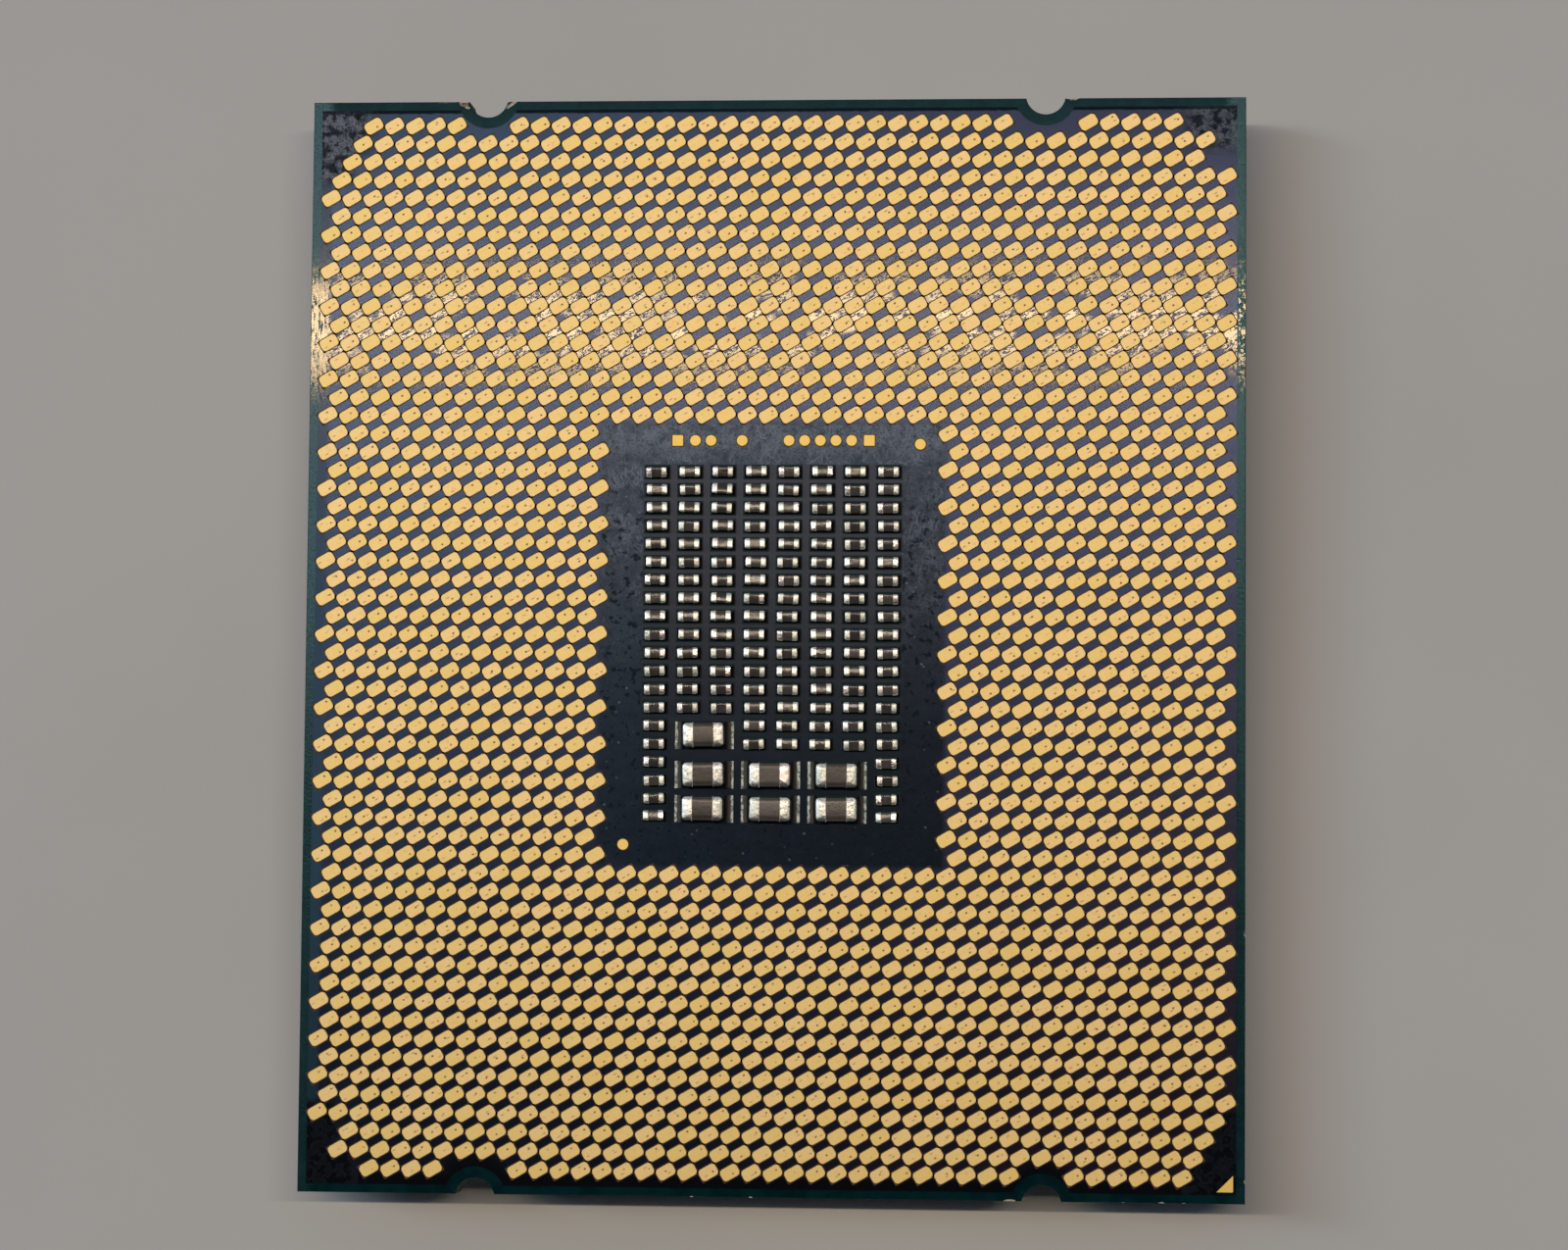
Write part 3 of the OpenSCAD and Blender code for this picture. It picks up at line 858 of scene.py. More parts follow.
# Package board: teal film on both faces, layered sides, chipped at the notches
boardLook = {
    "edge": 0.03,
    "fold": 40,
    "skin": (0.005, 0.02),
    "teal": rgb(0.003, 0.029, 0.033),
    "tealDark": rgb(0.0012, 0.017, 0.020),
    "mottle": (1.3, 4.0),
    "mottleRange": (0.35, 0.65),
    "stipple": (8.0, 3.0, 0.6),
    "stippleDepth": 0.004,
    "stippleShare": (0.1, 1.6),
    "sheen": 0.33,
    "sheenTint": rgb(0.34, 0.78, 1.0),
    "rough": 0.10,
    "besideRough": (0.04, 0.16),
    "leftRough": 0.05,
    "well": rgb(0.003, 0.0027, 0.0025),
    "wellRoom": (6.9, 9.2),
    "wellFade": 0.2,
    "wellRough": 0.4,
    "beside": (21.3, 22.35),
    "leftEnd": (-1.0, 1.0),
    "paintedSheenTeal": rgb(0.050, 0.105, 0.150),
    "paintedLeftSheenFrom": (-8.0, 4.0),
    "paintedLeftSheenRange": (0.25, 0.62),
    "rim": (22.12, 25.87),
    "rimFade": 0.08,
    "grit": (6.5, 2.0, 0.7),
    "gritRange": (0.51, 0.56),
    "gritShare": 0.02,
    "rimGrit": (0.10, 0.90),
    # Sides
    "sideFilm": rgb(0.012, 0.05, 0.042),
    "sideCore": rgb(0.115, 0.125, 0.055),
    "core": (0.42, 1.48),
    "coreFade": 0.03,
    "coreRange": (0.35, 0.7),
    "weaveStretch": (1.0, 1.0, 7.0),
    "weave": (1.6, 4.0, 0.6),
    "weaveDepth": 0.008,
    "layer": 0.07,
    "layerWeave": 1.6,
    "layerRange": (1.0, 1.5),
    "layerShare": 0.6,
    "sideRough": (0.65, 0.85),
    "sideSheen": 0.08,
    # Broken faces
    "tan": rgb(0.20, 0.13, 0.06),
    "white": rgb(0.85, 0.83, 0.76),
    "fibreStretch": (1.0, 1.0, 4.0),
    "fibre": (7.0, 4.0, 0.6),
    "fibreRange": (0.44, 0.56),
    "brownShare": 0.30,
    "seed": 5,
    "ragged": (0.78, 1.1),
    # Chips: middle x and y, half sizes along x, y and z, turn in degrees, share of tan
    "chips": [
        ((-15.17, 26.22), (0.27, 0.22, 0.26), 0, 0.75),
        ((-15.90, 26.24), (0.55, 0.05, 0.05), 3, 0.9),
        ((-15.02, 25.98), (0.16, 0.07, 0.12), -20, 0.2),
        ((-12.80, 26.16), (0.40, 0.085, 0.24), 40, 0.0),
        ((-13.02, 26.30), (0.10, 0.12, 0.20), 0, 0.9),
        ((14.25, 26.28), (0.36, 0.14, 0.25), 0, 0.7),
        ((-3.60, -26.26), (0.10, 0.06, 0.06), 0, 0.2),
        ((-0.80, -26.26), (0.12, 0.07, 0.06), 10, 0.2),
        ((18.60, -26.26), (0.16, 0.08, 0.12), 0, 0.2),
        ((19.65, -26.26), (0.10, 0.06, 0.08), 0, 0.2),
        ((22.52, -25.20), (0.08, 0.12, 0.10), 0, 0.3),
        ((22.52, -13.60), (0.10, 0.22, 0.20), 0, 0.7),
        ((22.53, 13.20), (0.10, 0.40, 0.18), 0, 1.0),
        ((22.53, 14.60), (0.09, 0.30, 0.16), 0, 1.0),
        ((11.45, -26.26), (0.34, 0.10, 0.10), 4, 0.2),
        ((16.80, -26.26), (0.07, 0.05, 0.05), 0, 0.1),
    ],
}


# Film on the faces, with drawn lines and grit that break up the tube's reflection at the rim
def boardFace(finish, place, x, y, onTop, cut):
    look = boardLook
    mottle = finish.patches(place, look["mottle"], look["mottleRange"])
    colour = finish.blend(mottle, look["tealDark"], look["teal"])
    inWell = finish.inside(x, y, look["wellRoom"], look["wellFade"]) * onTop
    colour = finish.blend(inWell, colour, look["well"])
    beside = finish.rise(abs(x), *look["beside"])
    left = beside * (1 - finish.rise(x, *look["leftEnd"]))
    stipple = finish.noise(place, *look["stipple"])
    # Painted sheen: the left border is painted paler and bluer in stipple, from the middle upwards
    paintedLeftSheen = left * finish.rise(y, *look["paintedLeftSheenFrom"]) * finish.rise(stipple, *look["paintedLeftSheenRange"])
    colour = finish.blend(paintedLeftSheen, colour, look["paintedSheenTeal"])
    rimX, rimY = [(start, start + look["rimFade"]) for start in look["rim"]]
    rim = finish.rise(abs(x), *rimX).most(finish.rise(abs(y), *rimY))
    polished, lines = polish(finish, place, y)
    grit = finish.patches(place, look["grit"], look["gritRange"])
    glint = grit * (look["gritShare"] + level(polished, *look["rimGrit"]) * rim * beside)
    glint = glint.most(lines * left) * onTop * (1 - cut) * (1 - inWell)
    rough = look["rough"] + level(stipple, *look["besideRough"]) * beside
    rough = rough + look["leftRough"] * left + look["wellRough"] * inWell
    height = stipple * level(beside, *look["stippleShare"])
    face = finish.shader({
        "Base Color": colour, "Roughness": rough, "Specular IOR Level": look["sheen"],
        "Specular Tint": look["sheenTint"], "Normal": finish.bump(height, look["stippleDepth"])})
    return finish.over(glint, face, clearFilm(finish, polishLook, colour))


# Sides with build-up layers over a woven core, and broken faces with bare glass fibre, all matt
def boardSide(finish, place, z, bottom, cut):
    look = boardLook
    weave = finish.noise(finish.turned(place, 0, look["weaveStretch"]), *look["weave"])
    turns = z * (2 * math.pi / look["layer"])
    line = finish.rise(turns.sine() + look["layerWeave"] * weave, *look["layerRange"])
    layers = finish.blend(look["layerShare"] * line, look["sideFilm"], look["tealDark"])
    low, high = [bottom + height for height in look["core"]]
    inCore = finish.rise(z, low, low + look["coreFade"])
    inCore = inCore * (1 - finish.rise(z, high, high + look["coreFade"]))
    core = finish.blend(finish.rise(weave, *look["coreRange"]), look["sideCore"], look["sideFilm"])
    colour = finish.blend(inCore, layers, core)
    fibre = finish.noise(finish.turned(place, 0, look["fibreStretch"]), *look["fibre"])
    pale = fibre - look["brownShare"] * (finish.attribute("brown") - 0.5)
    broken = finish.blend(finish.rise(pale, *look["fibreRange"]), look["tan"], look["white"])
    return finish.shader({
        "Base Color": finish.blend(cut, colour, broken), "Specular IOR Level": look["sideSheen"],
        "Roughness": level(weave, *look["sideRough"]),
        "Normal": finish.bump(weave, look["weaveDepth"])})


def boardFinish():
    low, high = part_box("base_board")
    bottom = low.z / mm
    top = high.z / mm
    finish = newFinish("boardTeal")
    place = finish.place()
    x, y, z = finish.axes(place)
    thin, thick = boardLook["skin"]
    onTop = finish.rise(z, top - thick, top - thin)
    onFace = onTop.most(1 - finish.rise(z, bottom + thin, bottom + thick))
    cut = finish.attribute("cut")
    face = boardFace(finish, place, x, y, onTop, cut)
    side = boardSide(finish, place, z, bottom, cut)
    return finish.close(finish.over(onFace * (1 - cut), side, face))


def chipTool(top):
    look = boardLook
    rng = random.Random(look["seed"])
    bm = bmesh.new()
    tone = bm.loops.layers.float.new("brown")
    for (x, y), half, turn, brown in look["chips"]:
        middlePoint = Vector((x * mm, y * mm, top))
        size = Matrix.Diagonal((*[length * mm for length in half], 1))
        spot = Matrix.Translation(middlePoint) @ Matrix.Rotation(math.radians(turn), 4, "Z")
        made = bmesh.ops.create_icosphere(bm, subdivisions=3, radius=1, matrix=spot @ size)
        for vert in made["verts"]:
            vert.co = middlePoint + (vert.co - middlePoint) * rng.uniform(*look["ragged"])
            for loop in vert.link_loops:
                loop[tone] = brown
    mesh = meshFrom("chipTool", bm)
    mesh.materials.append(bpy.data.materials.new("chipMark"))
    return placed("chipTool", mesh)


def makeBoard():
    look = boardLook
    bm = plainCopy("base_board")
    sharp = [e for e in bm.edges if e.calc_face_angle(0) > math.radians(look["fold"])]
    outline = [e for e in sharp if spanOf(e, 2) < mergeStep]
    bevelled(bm, outline, look["edge"] * mm, 1)
    mesh = meshFrom("packageBoard", bm)
    mesh.materials.append(bpy.data.materials.new("boardMark"))
    board = placed("packageBoard", mesh)
    tool = chipTool(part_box("base_board")[1].z)
    cutter = board.modifiers.new("chips", "BOOLEAN")
    cutter.operation = "DIFFERENCE"
    cutter.solver = "EXACT"
    cutter.use_self = True  # neighbouring chips overlap
    cutter.material_mode = "TRANSFER"
    cutter.object = tool
    graph = bpy.context.evaluated_depsgraph_get()
    chipped = bpy.data.meshes.new_from_object(board.evaluated_get(graph))
    board.modifiers.clear()
    board.data = chipped
    # The tool's material tells the broken faces from the rest
    cut = chipped.attributes.new("cut", "FLOAT", "CORNER")
    for polygon in chipped.polygons:
        for index in polygon.loop_indices:
            cut.data[index].value = float(polygon.material_index > 0)
    for polygon in chipped.polygons:
        polygon.material_index = 0
    chipped.materials.clear()
    chipped.materials.append(boardFinish())
    shadeMesh(chipped)
    bpy.data.objects.remove(tool)
    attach(board, "root")
    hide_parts("base_board")
    print("packageBoard", len(chipped.polygons), "faces")


# Small gold marks: test pads, alignment dots and corner markers
markLook = {
    "gold": rgb(0.655, 0.490, 0.135),
    "paleGold": rgb(0.675, 0.510, 0.175),
    "cloud": (0.5, 3.0),
    "cloudRange": (0.35, 0.65),
    "grainDepth": 0.0012,
    "edge": 0.012,
    "bedMargin": 0.035,
    "padCorner": 0.04,
    "squareFrom": 4.3,
    "sides": 24,
    "markerCorner": 0.05,
}


def markFinish():
    look = markLook
    finish = newFinish("markGold")
    place = finish.place()
    cloud = finish.patches(place, look["cloud"], look["cloudRange"])
    grain = finish.noise(place, *landLook["grain"])
    return finish.surface({
        "Base Color": finish.blend(cloud, look["gold"], look["paleGold"]), "Metallic": 1.0,
        "Roughness": level(grain, *landLook["rough"]),
        "Normal": finish.bump(grain, look["grainDepth"])})


def roundDisc(diameter, height, edge):
    bm = bmesh.new()
    bmesh.ops.create_circle(bm, cap_ends=True, segments=markLook["sides"], radius=diameter / 2)
    raised(bm, height)
    if edge:
        softenTop(bm, height, edge)
    return bm


def cornerTriangle(size, edge):
    bm = bmesh.new()
    bmesh.ops.create_circle(bm, cap_ends=True, segments=3, radius=1)
    for vert, spot in zip(bm.verts, ((0, 0), (0, size.y), (-size.x, 0))):
        vert.co = (*spot, 0)
    bevelled(bm, bm.verts[:], markLook["markerCorner"] * mm, 2, "VERTICES")
    raised(bm, size.z)
    softenTop(bm, size.z, edge)
    return bm


def footOf(box):
    spot = middle(box)
    return Matrix.Translation((spot.x, spot.y, box[0].z))


def makeMarks():
    look = markLook
    material = markFinish()
    edge = look["edge"] * mm
    corner = look["padCorner"] * mm
    bedTop = landLook["bedHeight"] * mm
    margin = 2 * look["bedMargin"] * mm
    lift = Matrix.Translation((0, 0, bedTop))
    pads = bmesh.new()
    beds = bmesh.new()
    for box in solidsOf("test_pads"):
        size = box[1] - box[0]
        if abs(middle(box).x) > look["squareFrom"] * mm:
            bm = roundPlate(size.x, size.y, corner, size.z - bedTop, edge)
            bed = roundPlate(size.x + margin, size.y + margin, corner, bedTop, 0)
        else:
            bm = roundDisc(size.x, size.z - bedTop, edge)
            bed = roundDisc(size.x + margin, bedTop, 0)
        addTo(pads, bm, lift @ footOf(box))
        addTo(beds, bed, footOf(box))
    makePiece("testPads", pads, material, "gold", "test_pads")
    dots = bmesh.new()
    for box in solidsOf("alignment_dots"):
        size = box[1] - box[0]
        addTo(dots, roundDisc(size.x, size.z - bedTop, edge), lift @ footOf(box))
        addTo(beds, roundDisc(size.x + margin, bedTop, 0), footOf(box))
    makePiece("alignmentDots", dots, material, "gold", "alignment_dots")
    makePiece("markBeds", beds, bpy.data.materials["landBed"], "resist")
    markers = bmesh.new()
    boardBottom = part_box("base_board")[0].z
    for low, high in solidsOf("corner_markers"):
        matrix = Matrix.Translation((high.x, low.y, low.z))
        if high.z < boardBottom + mergeStep:
            matrix = Matrix.Translation((high.x, low.y, high.z)) @ Matrix.Diagonal((1, 1, -1, 1))
        addTo(markers, cornerTriangle(high - low, edge), matrix)
    bmesh.ops.recalc_face_normals(markers, faces=markers.faces)
    makePiece("cornerMarkers", markers, material, "gold", "corner_markers")


# Capacitors: looks, sizes and lean of the small and of the large ones
smallLook = {
    "seed": 23,
    "dark": rgb(0.045, 0.042, 0.039),
    "light": rgb(0.100, 0.092, 0.084),
    "gloss": 0.06,
    "fleck": 0.2,
    "dent": 0.015,
    "paintedNearShade": 0.3,
    "crown": 0.011,
    "flatCrown": 0.003,
    "flatShare": 0.25,
    "spare": 0.0,
    "bodyEdge": 0.03,
    "endCorner": 0.085,
    "endEdge": 0.06,
    "lipEdge": 0.012,
    "turn": 1.4,
    "pitch": 2.6,
    "pitchMean": 0.9,
    "roll": 2.0,
    "drift": 0.02,
    "filletGrid": (3, 2),
    "filletFoot": 0.05,
    "darkCover": 0.9,
}
largeLook = {
    "seed": 41,
    "dark": rgb(0.040, 0.036, 0.033),
    "light": rgb(0.080, 0.071, 0.063),
    "gloss": 0.18,
    "fleck": 0.75,
    "dent": 0.025,
    "paintedNearShade": 0.9,
    "crown": 0.012,
    "flatCrown": 0.003,
    "flatShare": 0.5,
    "spare": 0.03,
    "bodyEdge": 0.13,
    "endCorner": 0.20,
    "endEdge": 0.16,
    "lipEdge": 0.02,
    "turn": 0.8,
    "pitch": 0.35,
    "pitchMean": 0.0,
    "roll": 0.2,
    "drift": 0.02,
    "filletGrid": (16, 14),
    "fillet": 0.22,
    "filletLip": 0.02,
    "tinPad": 0.05,
    "darkCoverEnd": 0.18,
    "darkCoverFade": 0.16,
}
leanLimit = 2.0  # standard deviations
endSeedStep = 0.31  # between the two ends of a capacitor


tinLook = {
    "dull": rgb(0.51, 0.56, 0.53),
    "pale": rgb(0.74, 0.775, 0.75),
    "paleRange": (0.3, 0.7),
    "rosy": rgb(0.80, 0.74, 0.74),
    "rosyRange": (0.70, 0.90),
    "rosyRough": 0.12,
    "mottle": (5.0, 4.0, 0.6),
    "rough": (0.27, 0.43),
    "pit": rgb(0.12, 0.11, 0.09),
    "pitPattern": (11.0, 3.0, 0.7),
    "pitRange": (0.54, 0.64),
    "darkCover": rgb(0.060, 0.050, 0.041),
    "paintedShadeShare": 0.85,
    "darkCoverRange": (0.45, 0.80),
    "nearRange": (-0.40, -0.06),
    "coatRange": (0.10, 0.50),
    "coatRough": 0.09,
}


# Tin that is rubbed bright on top, with painted shade down its sides and on faces turned towards the
# near side
def tinFinish(name, look):
    finish = newFinish(name)
    place = finish.place()
    tone, rub, other = finish.scatter(finish.attribute("seed"))
    mottle = finish.noise(place, *tinLook["mottle"])
    pale = finish.rise(0.5 * mottle + 0.5 * tone, *tinLook["paleRange"])
    colour = finish.blend(pale, tinLook["dull"], tinLook["pale"])
    rosy = finish.rise(rub, *tinLook["rosyRange"])
    colour = finish.blend(rosy, colour, tinLook["rosy"])
    pits = finish.patches(place, tinLook["pitPattern"], tinLook["pitRange"])
    colour = finish.blend(look["fleck"] * pits, colour, tinLook["pit"])
    # Painted shade by the direction a face turns: down the sides and towards the near side
    away, upward = finish.axes(finish.node("ShaderNodeNewGeometry", None, None, "Normal"))[1:]
    paintedSideShade = tinLook["paintedShadeShare"] * (1 - finish.rise(upward, *tinLook["darkCoverRange"]))
    paintedSideShade = paintedSideShade.most(look["paintedNearShade"] * (1 - finish.rise(away, *tinLook["nearRange"])))
    return finish.surface({
        "Base Color": finish.blend(paintedSideShade, colour, tinLook["darkCover"]), "Metallic": 1.0,
        "Roughness": level(mottle, *tinLook["rough"]) - tinLook["rosyRough"] * rosy,
        "Coat Weight": finish.rise(other, *tinLook["coatRange"]),
        "Coat Roughness": tinLook["coatRough"],
        "Normal": finish.bump(mottle * (0.5 + other), look["dent"])})


ceramicLook = {
    "grain": (30.0, 3.0, 0.6),
    "grainRough": 0.06,
    "grainHeight": 0.5,
    "ownRough": 0.08,
    "mottle": (5.0, 3.0),
    "mottleDepth": 0.004,
    "lightRange": (0.2, 0.8),
    "sheen": 0.5,
}


def ceramicFinish(name, look):
    finish = newFinish(name)
    place = finish.place()
    tone, own = finish.scatter(finish.attribute("seed"))[:2]
    grain = finish.noise(place, *ceramicLook["grain"])
    mottle = finish.noise(place, *ceramicLook["mottle"])
    paler = finish.rise(0.5 * tone + 0.5 * mottle, *ceramicLook["lightRange"])
    rough = look["gloss"] + ceramicLook["ownRough"] * own + ceramicLook["grainRough"] * grain
    height = ceramicLook["grainHeight"] * grain + mottle
    return finish.surface({
        "Base Color": finish.blend(paler, look["dark"], look["light"]), "Roughness": rough,
        "Specular IOR Level": ceramicLook["sheen"],
        "Normal": finish.bump(height, ceramicLook["mottleDepth"])})


solderLook = {
    "seed": 61,
    "dull": rgb(0.085, 0.110, 0.115),
    "pale": rgb(0.31, 0.375, 0.40),
    "paleRange": (0.40, 0.60),
    "flow": (5.0, 3.0, 0.55, 0.6),
    "flowDepth": 0.02,
    "grainStretch": (9.0, 3.0, 3.0),
    "grain": (1.0, 4.0, 0.65),
    "grainHeight": 0.5,
    "rough": (0.28, 0.48),
    # Dark cover, whose edge strays by grain, by patches and from fillet to fillet
    "darkCover": rgb(0.012, 0.010, 0.009),
    "darkCoverRange": (0.22, 0.46),
    "darkCoverDull": 0.8,
    "grainStray": 0.4,
    "patchStray": 0.7,
    "ownStray": 0.4,
    "patchy": (2.4, 3.0, 0.6),
}


# Dull bright metal at the rim of a pad, dark and dull on the slope against the terminal
def solderFinish():
    look = solderLook
    finish = newFinish("solder")
    place = finish.place()
    flow = finish.noise(place, *look["flow"])
    grain = finish.noise(finish.turned(place, 0, look["grainStretch"]), *look["grain"])
    metal = finish.blend(finish.rise(flow, *look["paleRange"]), look["dull"], look["pale"])
    patchy = finish.noise(place, *look["patchy"])
    own = finish.scatter(finish.attribute("seed"))[1]
    covered = finish.attribute("darkCover") + look["grainStray"] * (grain - 0.5)
    covered = covered + look["patchStray"] * (patchy - 0.5) + look["ownStray"] * (own - 0.5)
    covered = finish.rise(covered, *look["darkCoverRange"])
    return finish.surface({
        "Base Color": finish.blend(covered, metal, look["darkCover"]),
        "Metallic": 1 - look["darkCoverDull"] * covered, "Roughness": level(flow, *look["rough"]),
        "Normal": finish.bump(flow + look["grainHeight"] * grain, look["flowDepth"])})


# Bar whose long edges are round
def roundBar(size, edge):
    bm = cuboid(size)
    bevelled(bm, [e for e in bm.edges if spanOf(e, 0) > size.x / 2], edge, 3)
    return bm


# Bends the upper face down towards both sides, so that its middle stands highest
def crownTop(bm, size, crown, cuts):
    upper = 0.4 * size.z
    across = [e for e in bm.edges if spanOf(e, 1) > 0.6 * size.y]
    across = [e for e in across if min(v.co.z for v in e.verts) > upper]
    bmesh.ops.subdivide_edges(bm, edges=across, cuts=cuts, use_grid_fill=True)
    for vert in bm.verts:
        if vert.co.z > upper:
            vert.co.z += crown * (1 - (2 * vert.co.y / size.y) ** 2) - crown


# Terminal with round outer corners and a round rim on top, with its outer end at +X
def endCap(size, look):
    bm = cuboid(size)
    nearEnd = 0.49  # share of a length that counts as its end, from the middle
    upright = [e for e in bm.edges if min(v.co.x for v in e.verts) > 0 and spanOf(e, 2) > size.z / 2]
    bevelled(bm, upright, look["endCorner"] * mm, 3)
    lips = [e for e in bm.edges if max(v.co.x for v in e.verts) < -nearEnd * size.x]
    bevelled(bm, lips, look["lipEdge"] * mm, 1)
    inner = look["lipEdge"] * mm * 2 - size.x / 2
    rim = [e for e in bm.edges if min(v.co.z for v in e.verts) > nearEnd * size.z]
    rim = [e for e in rim if max(v.co.x for v in e.verts) > inner and len(e.link_faces) == 2]
    bevelled(bm, rim, look["endEdge"] * mm, 2)
    return bm


# Seeded lean and turn of each capacitor about the middle of its foot
def leaning(look, bodies, foot):
    rng = random.Random(look["seed"])
    matrices = []
    seeds = []
    for box in bodies:
        spread = [max(-leanLimit, min(leanLimit, rng.gauss(0, 1))) for axis in range(3)]
        keys = ("pitch", "roll", "turn")
        angles = [math.radians(part * look[key]) for part, key in zip(spread, keys)]
        angles[0] += math.radians(look["pitchMean"])
        lift = abs(math.sin(angles[0])) * (box[1].y - box[0].y) / 2
        lift += abs(math.sin(angles[1])) * (box[1].x - box[0].x) / 2
        drift = [rng.uniform(-1, 1) * look["drift"] * mm for axis in range(2)]
        spot = middle(box)
        move = Matrix.Translation((spot.x + drift[0], spot.y + drift[1], foot + lift))
        matrices.append(move @ Euler(angles).to_matrix().to_4x4())
        seeds.append(rng.uniform(*seedRange))
    return matrices, seeds


def makeCapacitors(size, look):
    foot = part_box("base_board")[1].z
    bodies = solidsOf(size + "_capacitor_bodies")
    ends = solidsOf(size + "_capacitor_terminals")
    lower = Vector((0, 0, look["spare"] * mm))
    endSize = ends[0][1] - ends[0][0] - lower
    plating = bodies[0][0].z - ends[0][0].z
    reach = abs(middle(ends[0]).x - middle(bodies[0]).x)
    bodySize = bodies[0][1] - bodies[0][0] - lower
    bodySize.x = min(bodySize.x, 2 * reach)
    matrices, seeds = leaning(look, bodies, foot)
    # Some tops are almost flat and mirror the tube whole, others only in a bar
    rng = random.Random(look["seed"] + 1)
    isFlat = [rng.random() < look["flatShare"] for body in bodies]
    whole = bmesh.new()
    for crown, flat in ((look["crown"], False), (look["flatCrown"], True)):
        bm = roundBar(bodySize, look["bodyEdge"] * mm)
        crownTop(bm, bodySize, crown * mm, 5)
        bmesh.ops.translate(bm, vec=(0, 0, plating + bodySize.z / 2), verts=bm.verts)
        chosen = [index for index, state in enumerate(isFlat) if state == flat]
        group = repeated(bm, [matrices[index] for index in chosen], [seeds[index] for index in chosen])
        addTo(whole, group, Matrix.Identity(4))
    ceramic = ceramicFinish(size + "Ceramic", look)
    makePiece(size + "CapacitorBodies", whole, ceramic, "capacitor_ceramic", size + "_capacitor_bodies")
    turnedEnds = []
    endSeeds = []
    for matrix, seed in zip(matrices, seeds):
        for side in (0, 1):
            turn = Matrix.Rotation(math.pi * side, 4, "Z")
            turnedEnds.append(matrix @ turn @ Matrix.Translation((reach, 0, endSize.z / 2)))
            endSeeds.append(seed + side * endSeedStep)
    bm = endCap(endSize, look)
    crownTop(bm, endSize, look["crown"] * mm, 3)
    tin = tinFinish(size + "Tin", look)
    makePiece(size + "CapacitorTerminals", repeated(bm, turnedEnds, endSeeds), tin, "tin",
              size + "_capacitor_terminals")


# Heights of the solder slopes, and how far the dark cover reaches, by the distance from the terminal
def smallSlope(x, size):
    return size.z * max(smallLook["filletFoot"], (1 - x / size.x) ** 2)


def largeSlope(x, size):
    fillet = largeLook["fillet"] * mm
    lip = largeLook["filletLip"] * mm
    along = 1 - min(x, fillet) / fillet
    return largeLook["tinPad"] * mm + lip * along + (fillet - lip) * (1 - math.sqrt(1 - along * along))


def smallDarkCover(x):
    return smallLook["darkCover"]


def largeDarkCover(x):
    return 1 - max(0, x / mm - largeLook["darkCoverEnd"]) / largeLook["darkCoverFade"]


# Hollow slope of solder from a terminal's end down to the pad, with its foot at the origin
def solderSlope(size, look, heightAt, darkCoverAt):
    bm = bmesh.new()
    layer = bm.verts.layers.float.new("darkCover")
    columns, rows = look["filletGrid"]
    bmesh.ops.create_grid(bm, x_segments=columns, y_segments=rows, size=0.5)
    bmesh.ops.scale(bm, vec=(size.x, size.y, 1), verts=bm.verts)
    bmesh.ops.translate(bm, vec=(size.x / 2, 0, 0), verts=bm.verts)
    made = bmesh.ops.extrude_face_region(bm, geom=bm.faces[:])
    upper = [item for item in made["geom"] if isinstance(item, bmesh.types.BMVert)]
    for vert in bm.verts:
        vert[layer] = darkCoverAt(vert.co.x)
    for vert in upper:
        vert.co.z = heightAt(vert.co.x, size)
    bmesh.ops.recalc_face_normals(bm, faces=bm.faces)
    return bm


def makeSolder(size, look, material, heightAt, darkCoverAt):
    rng = random.Random(solderLook["seed"])
    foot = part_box("base_board")[1].z
    bodies = [middle(box).x for box in solidsOf(size + "_capacitor_bodies")]
    boxes = solidsOf(size + "_capacitor_solder")
    slope = solderSlope(boxes[0][1] - boxes[0][0], look, heightAt, darkCoverAt)
    matrices = []
    for box in boxes:
        spot = middle(box)
        isRight = min(bodies, key=lambda x: abs(x - spot.x)) < spot.x
        turn = Matrix.Rotation(0.0 if isRight else math.pi, 4, "Z")
        start = box[0].x if isRight else box[1].x
        matrices.append(Matrix.Translation((start, spot.y, foot)) @ turn)
    seeds = [rng.uniform(*seedRange) for box in boxes]
    makePiece(size + "CapacitorSolder", repeated(slope, matrices, seeds), material, "solder",
              size + "_capacitor_solder")


# Heat spreader: satin nickel with fine rub marks and softened edges
spreaderLook = {
    "edge": 0.05,
    "fold": 24,
    "dull": rgb(0.60, 0.575, 0.53),
    "pale": rgb(0.68, 0.66, 0.62),
    "cloud": (0.12, 4.0),
    "cloudRange": (0.35, 0.65),
    "grain": (8.0, 4.0, 0.6),
    "grainDepth": 0.004,
    "rough": (0.30, 0.40),
    "rubs": (12, 71, -38, -83),
    "rubStretch": (6.0, 0.12, 1.0),
    "lightenedRange": (0.66, 0.74),
    "lightened": rgb(0.80, 0.79, 0.76),
    "rubShare": 0.35,
    "rubRough": 0.08,
    "rubDepth": 0.5,
}


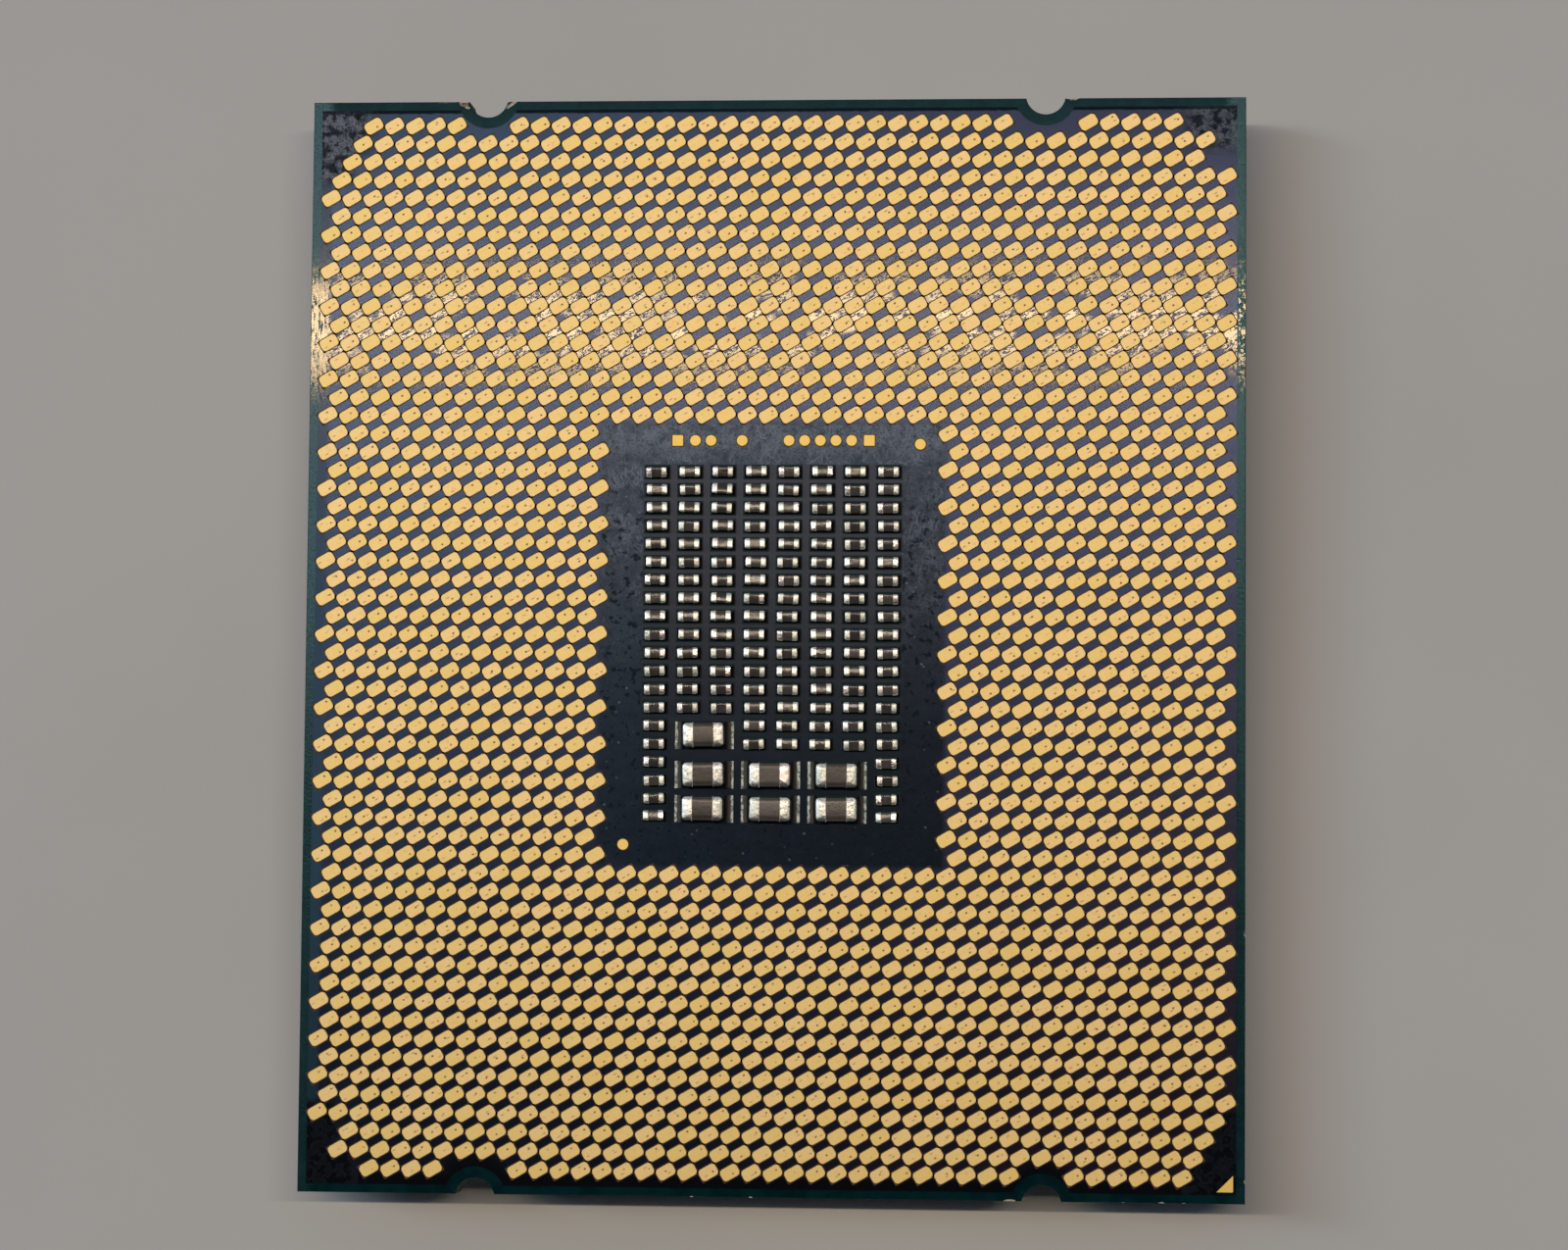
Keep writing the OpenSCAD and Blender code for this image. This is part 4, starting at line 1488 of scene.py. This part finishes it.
def nickelFinish():
    look = spreaderLook
    finish = newFinish("nickelPlate")
    place = finish.place()
    cloud = finish.patches(place, look["cloud"], look["cloudRange"])
    grain = finish.noise(place, *look["grain"])
    rubs = []
    for degrees in look["rubs"]:
        rubs.append(finish.noise(finish.turned(place, degrees, look["rubStretch"]), 1.0, 2.0))
    rub = finish.rise(rubs[0].most(rubs[1]).most(rubs[2].most(rubs[3])), *look["lightenedRange"])
    colour = finish.blend(cloud, look["dull"], look["pale"])
    return finish.surface({
        "Base Color": finish.blend(look["rubShare"] * rub, colour, look["lightened"]), "Metallic": 1.0,
        "Roughness": level(grain, *look["rough"]) - look["rubRough"] * rub,
        "Normal": finish.bump(grain - look["rubDepth"] * rub, look["grainDepth"])})


def makeHeatSpreader():
    look = spreaderLook
    bm = plainCopy("heat_spreader")
    folds = [e for e in bm.edges if e.calc_face_angle(0) > math.radians(look["fold"])]
    bevelled(bm, folds, look["edge"] * mm, 2)
    makePiece("heatSpreader", bm, nickelFinish(), "nickel_plate", "heat_spreader")


# Materials between board and lid, each in two tones of one pattern
hiddenLook = {
    "sealant": {
        "tones": (rgb(0.012, 0.012, 0.013), rgb(0.035, 0.035, 0.037)),
        "pattern": (4.0, 4.0, 0.6),
        "metallic": 0.0,
        "rough": (0.6, 0.8),
        "depth": 0.03,
    },
    "silicon": {
        "tones": (rgb(0.10, 0.105, 0.12), rgb(0.16, 0.165, 0.18)),
        "pattern": (0.5, 4.0),
        "metallic": 0.7,
        "rough": (0.12, 0.22),
        "depth": 0.0,
    },
    "underfill": {
        "tones": (rgb(0.02, 0.016, 0.012), rgb(0.06, 0.045, 0.03)),
        "pattern": (1.2, 4.0, 0.6),
        "metallic": 0.0,
        "rough": (0.3, 0.5),
        "depth": 0.02,
    },
    "softMetal": {
        "tones": (rgb(0.55, 0.55, 0.56), rgb(0.70, 0.70, 0.71)),
        "pattern": (0.8, 4.0, 0.6),
        "metallic": 1.0,
        "rough": (0.35, 0.55),
        "depth": 0.02,
    },
}


def hiddenFinish(name):
    look = hiddenLook[name]
    finish = newFinish(name)
    flow = finish.noise(finish.place(), *look["pattern"])
    sockets = {"Base Color": finish.blend(flow, *look["tones"]), "Metallic": look["metallic"]}
    sockets["Roughness"] = level(flow, *look["rough"])
    if look["depth"]:
        sockets["Normal"] = finish.bump(flow, look["depth"])
    return finish.surface(sockets)


# A CAD node that is shown as it is, in its own finish
def dressNode(nodeName, material):
    for holder in nodes[nodeName].material_slots:
        holder.material = material
    print(nodeName, "dressed")


makeCamera()
makeLight()
makeFloor()
makeLands()
makeBoard()
makeMarks()
solder = solderFinish()
makeCapacitors("small", smallLook)
makeCapacitors("large", largeLook)
makeSolder("small", smallLook, solder, smallSlope, smallDarkCover)
makeSolder("large", largeLook, solder, largeSlope, largeDarkCover)
dressNode("solder_resist", resistFinish())
makeHeatSpreader()
dressNode("lid_adhesive", hiddenFinish("sealant"))
dressNode("silicon_die", hiddenFinish("silicon"))
dressNode("die_underfill", hiddenFinish("underfill"))
dressNode("die_solder", hiddenFinish("softMetal"))
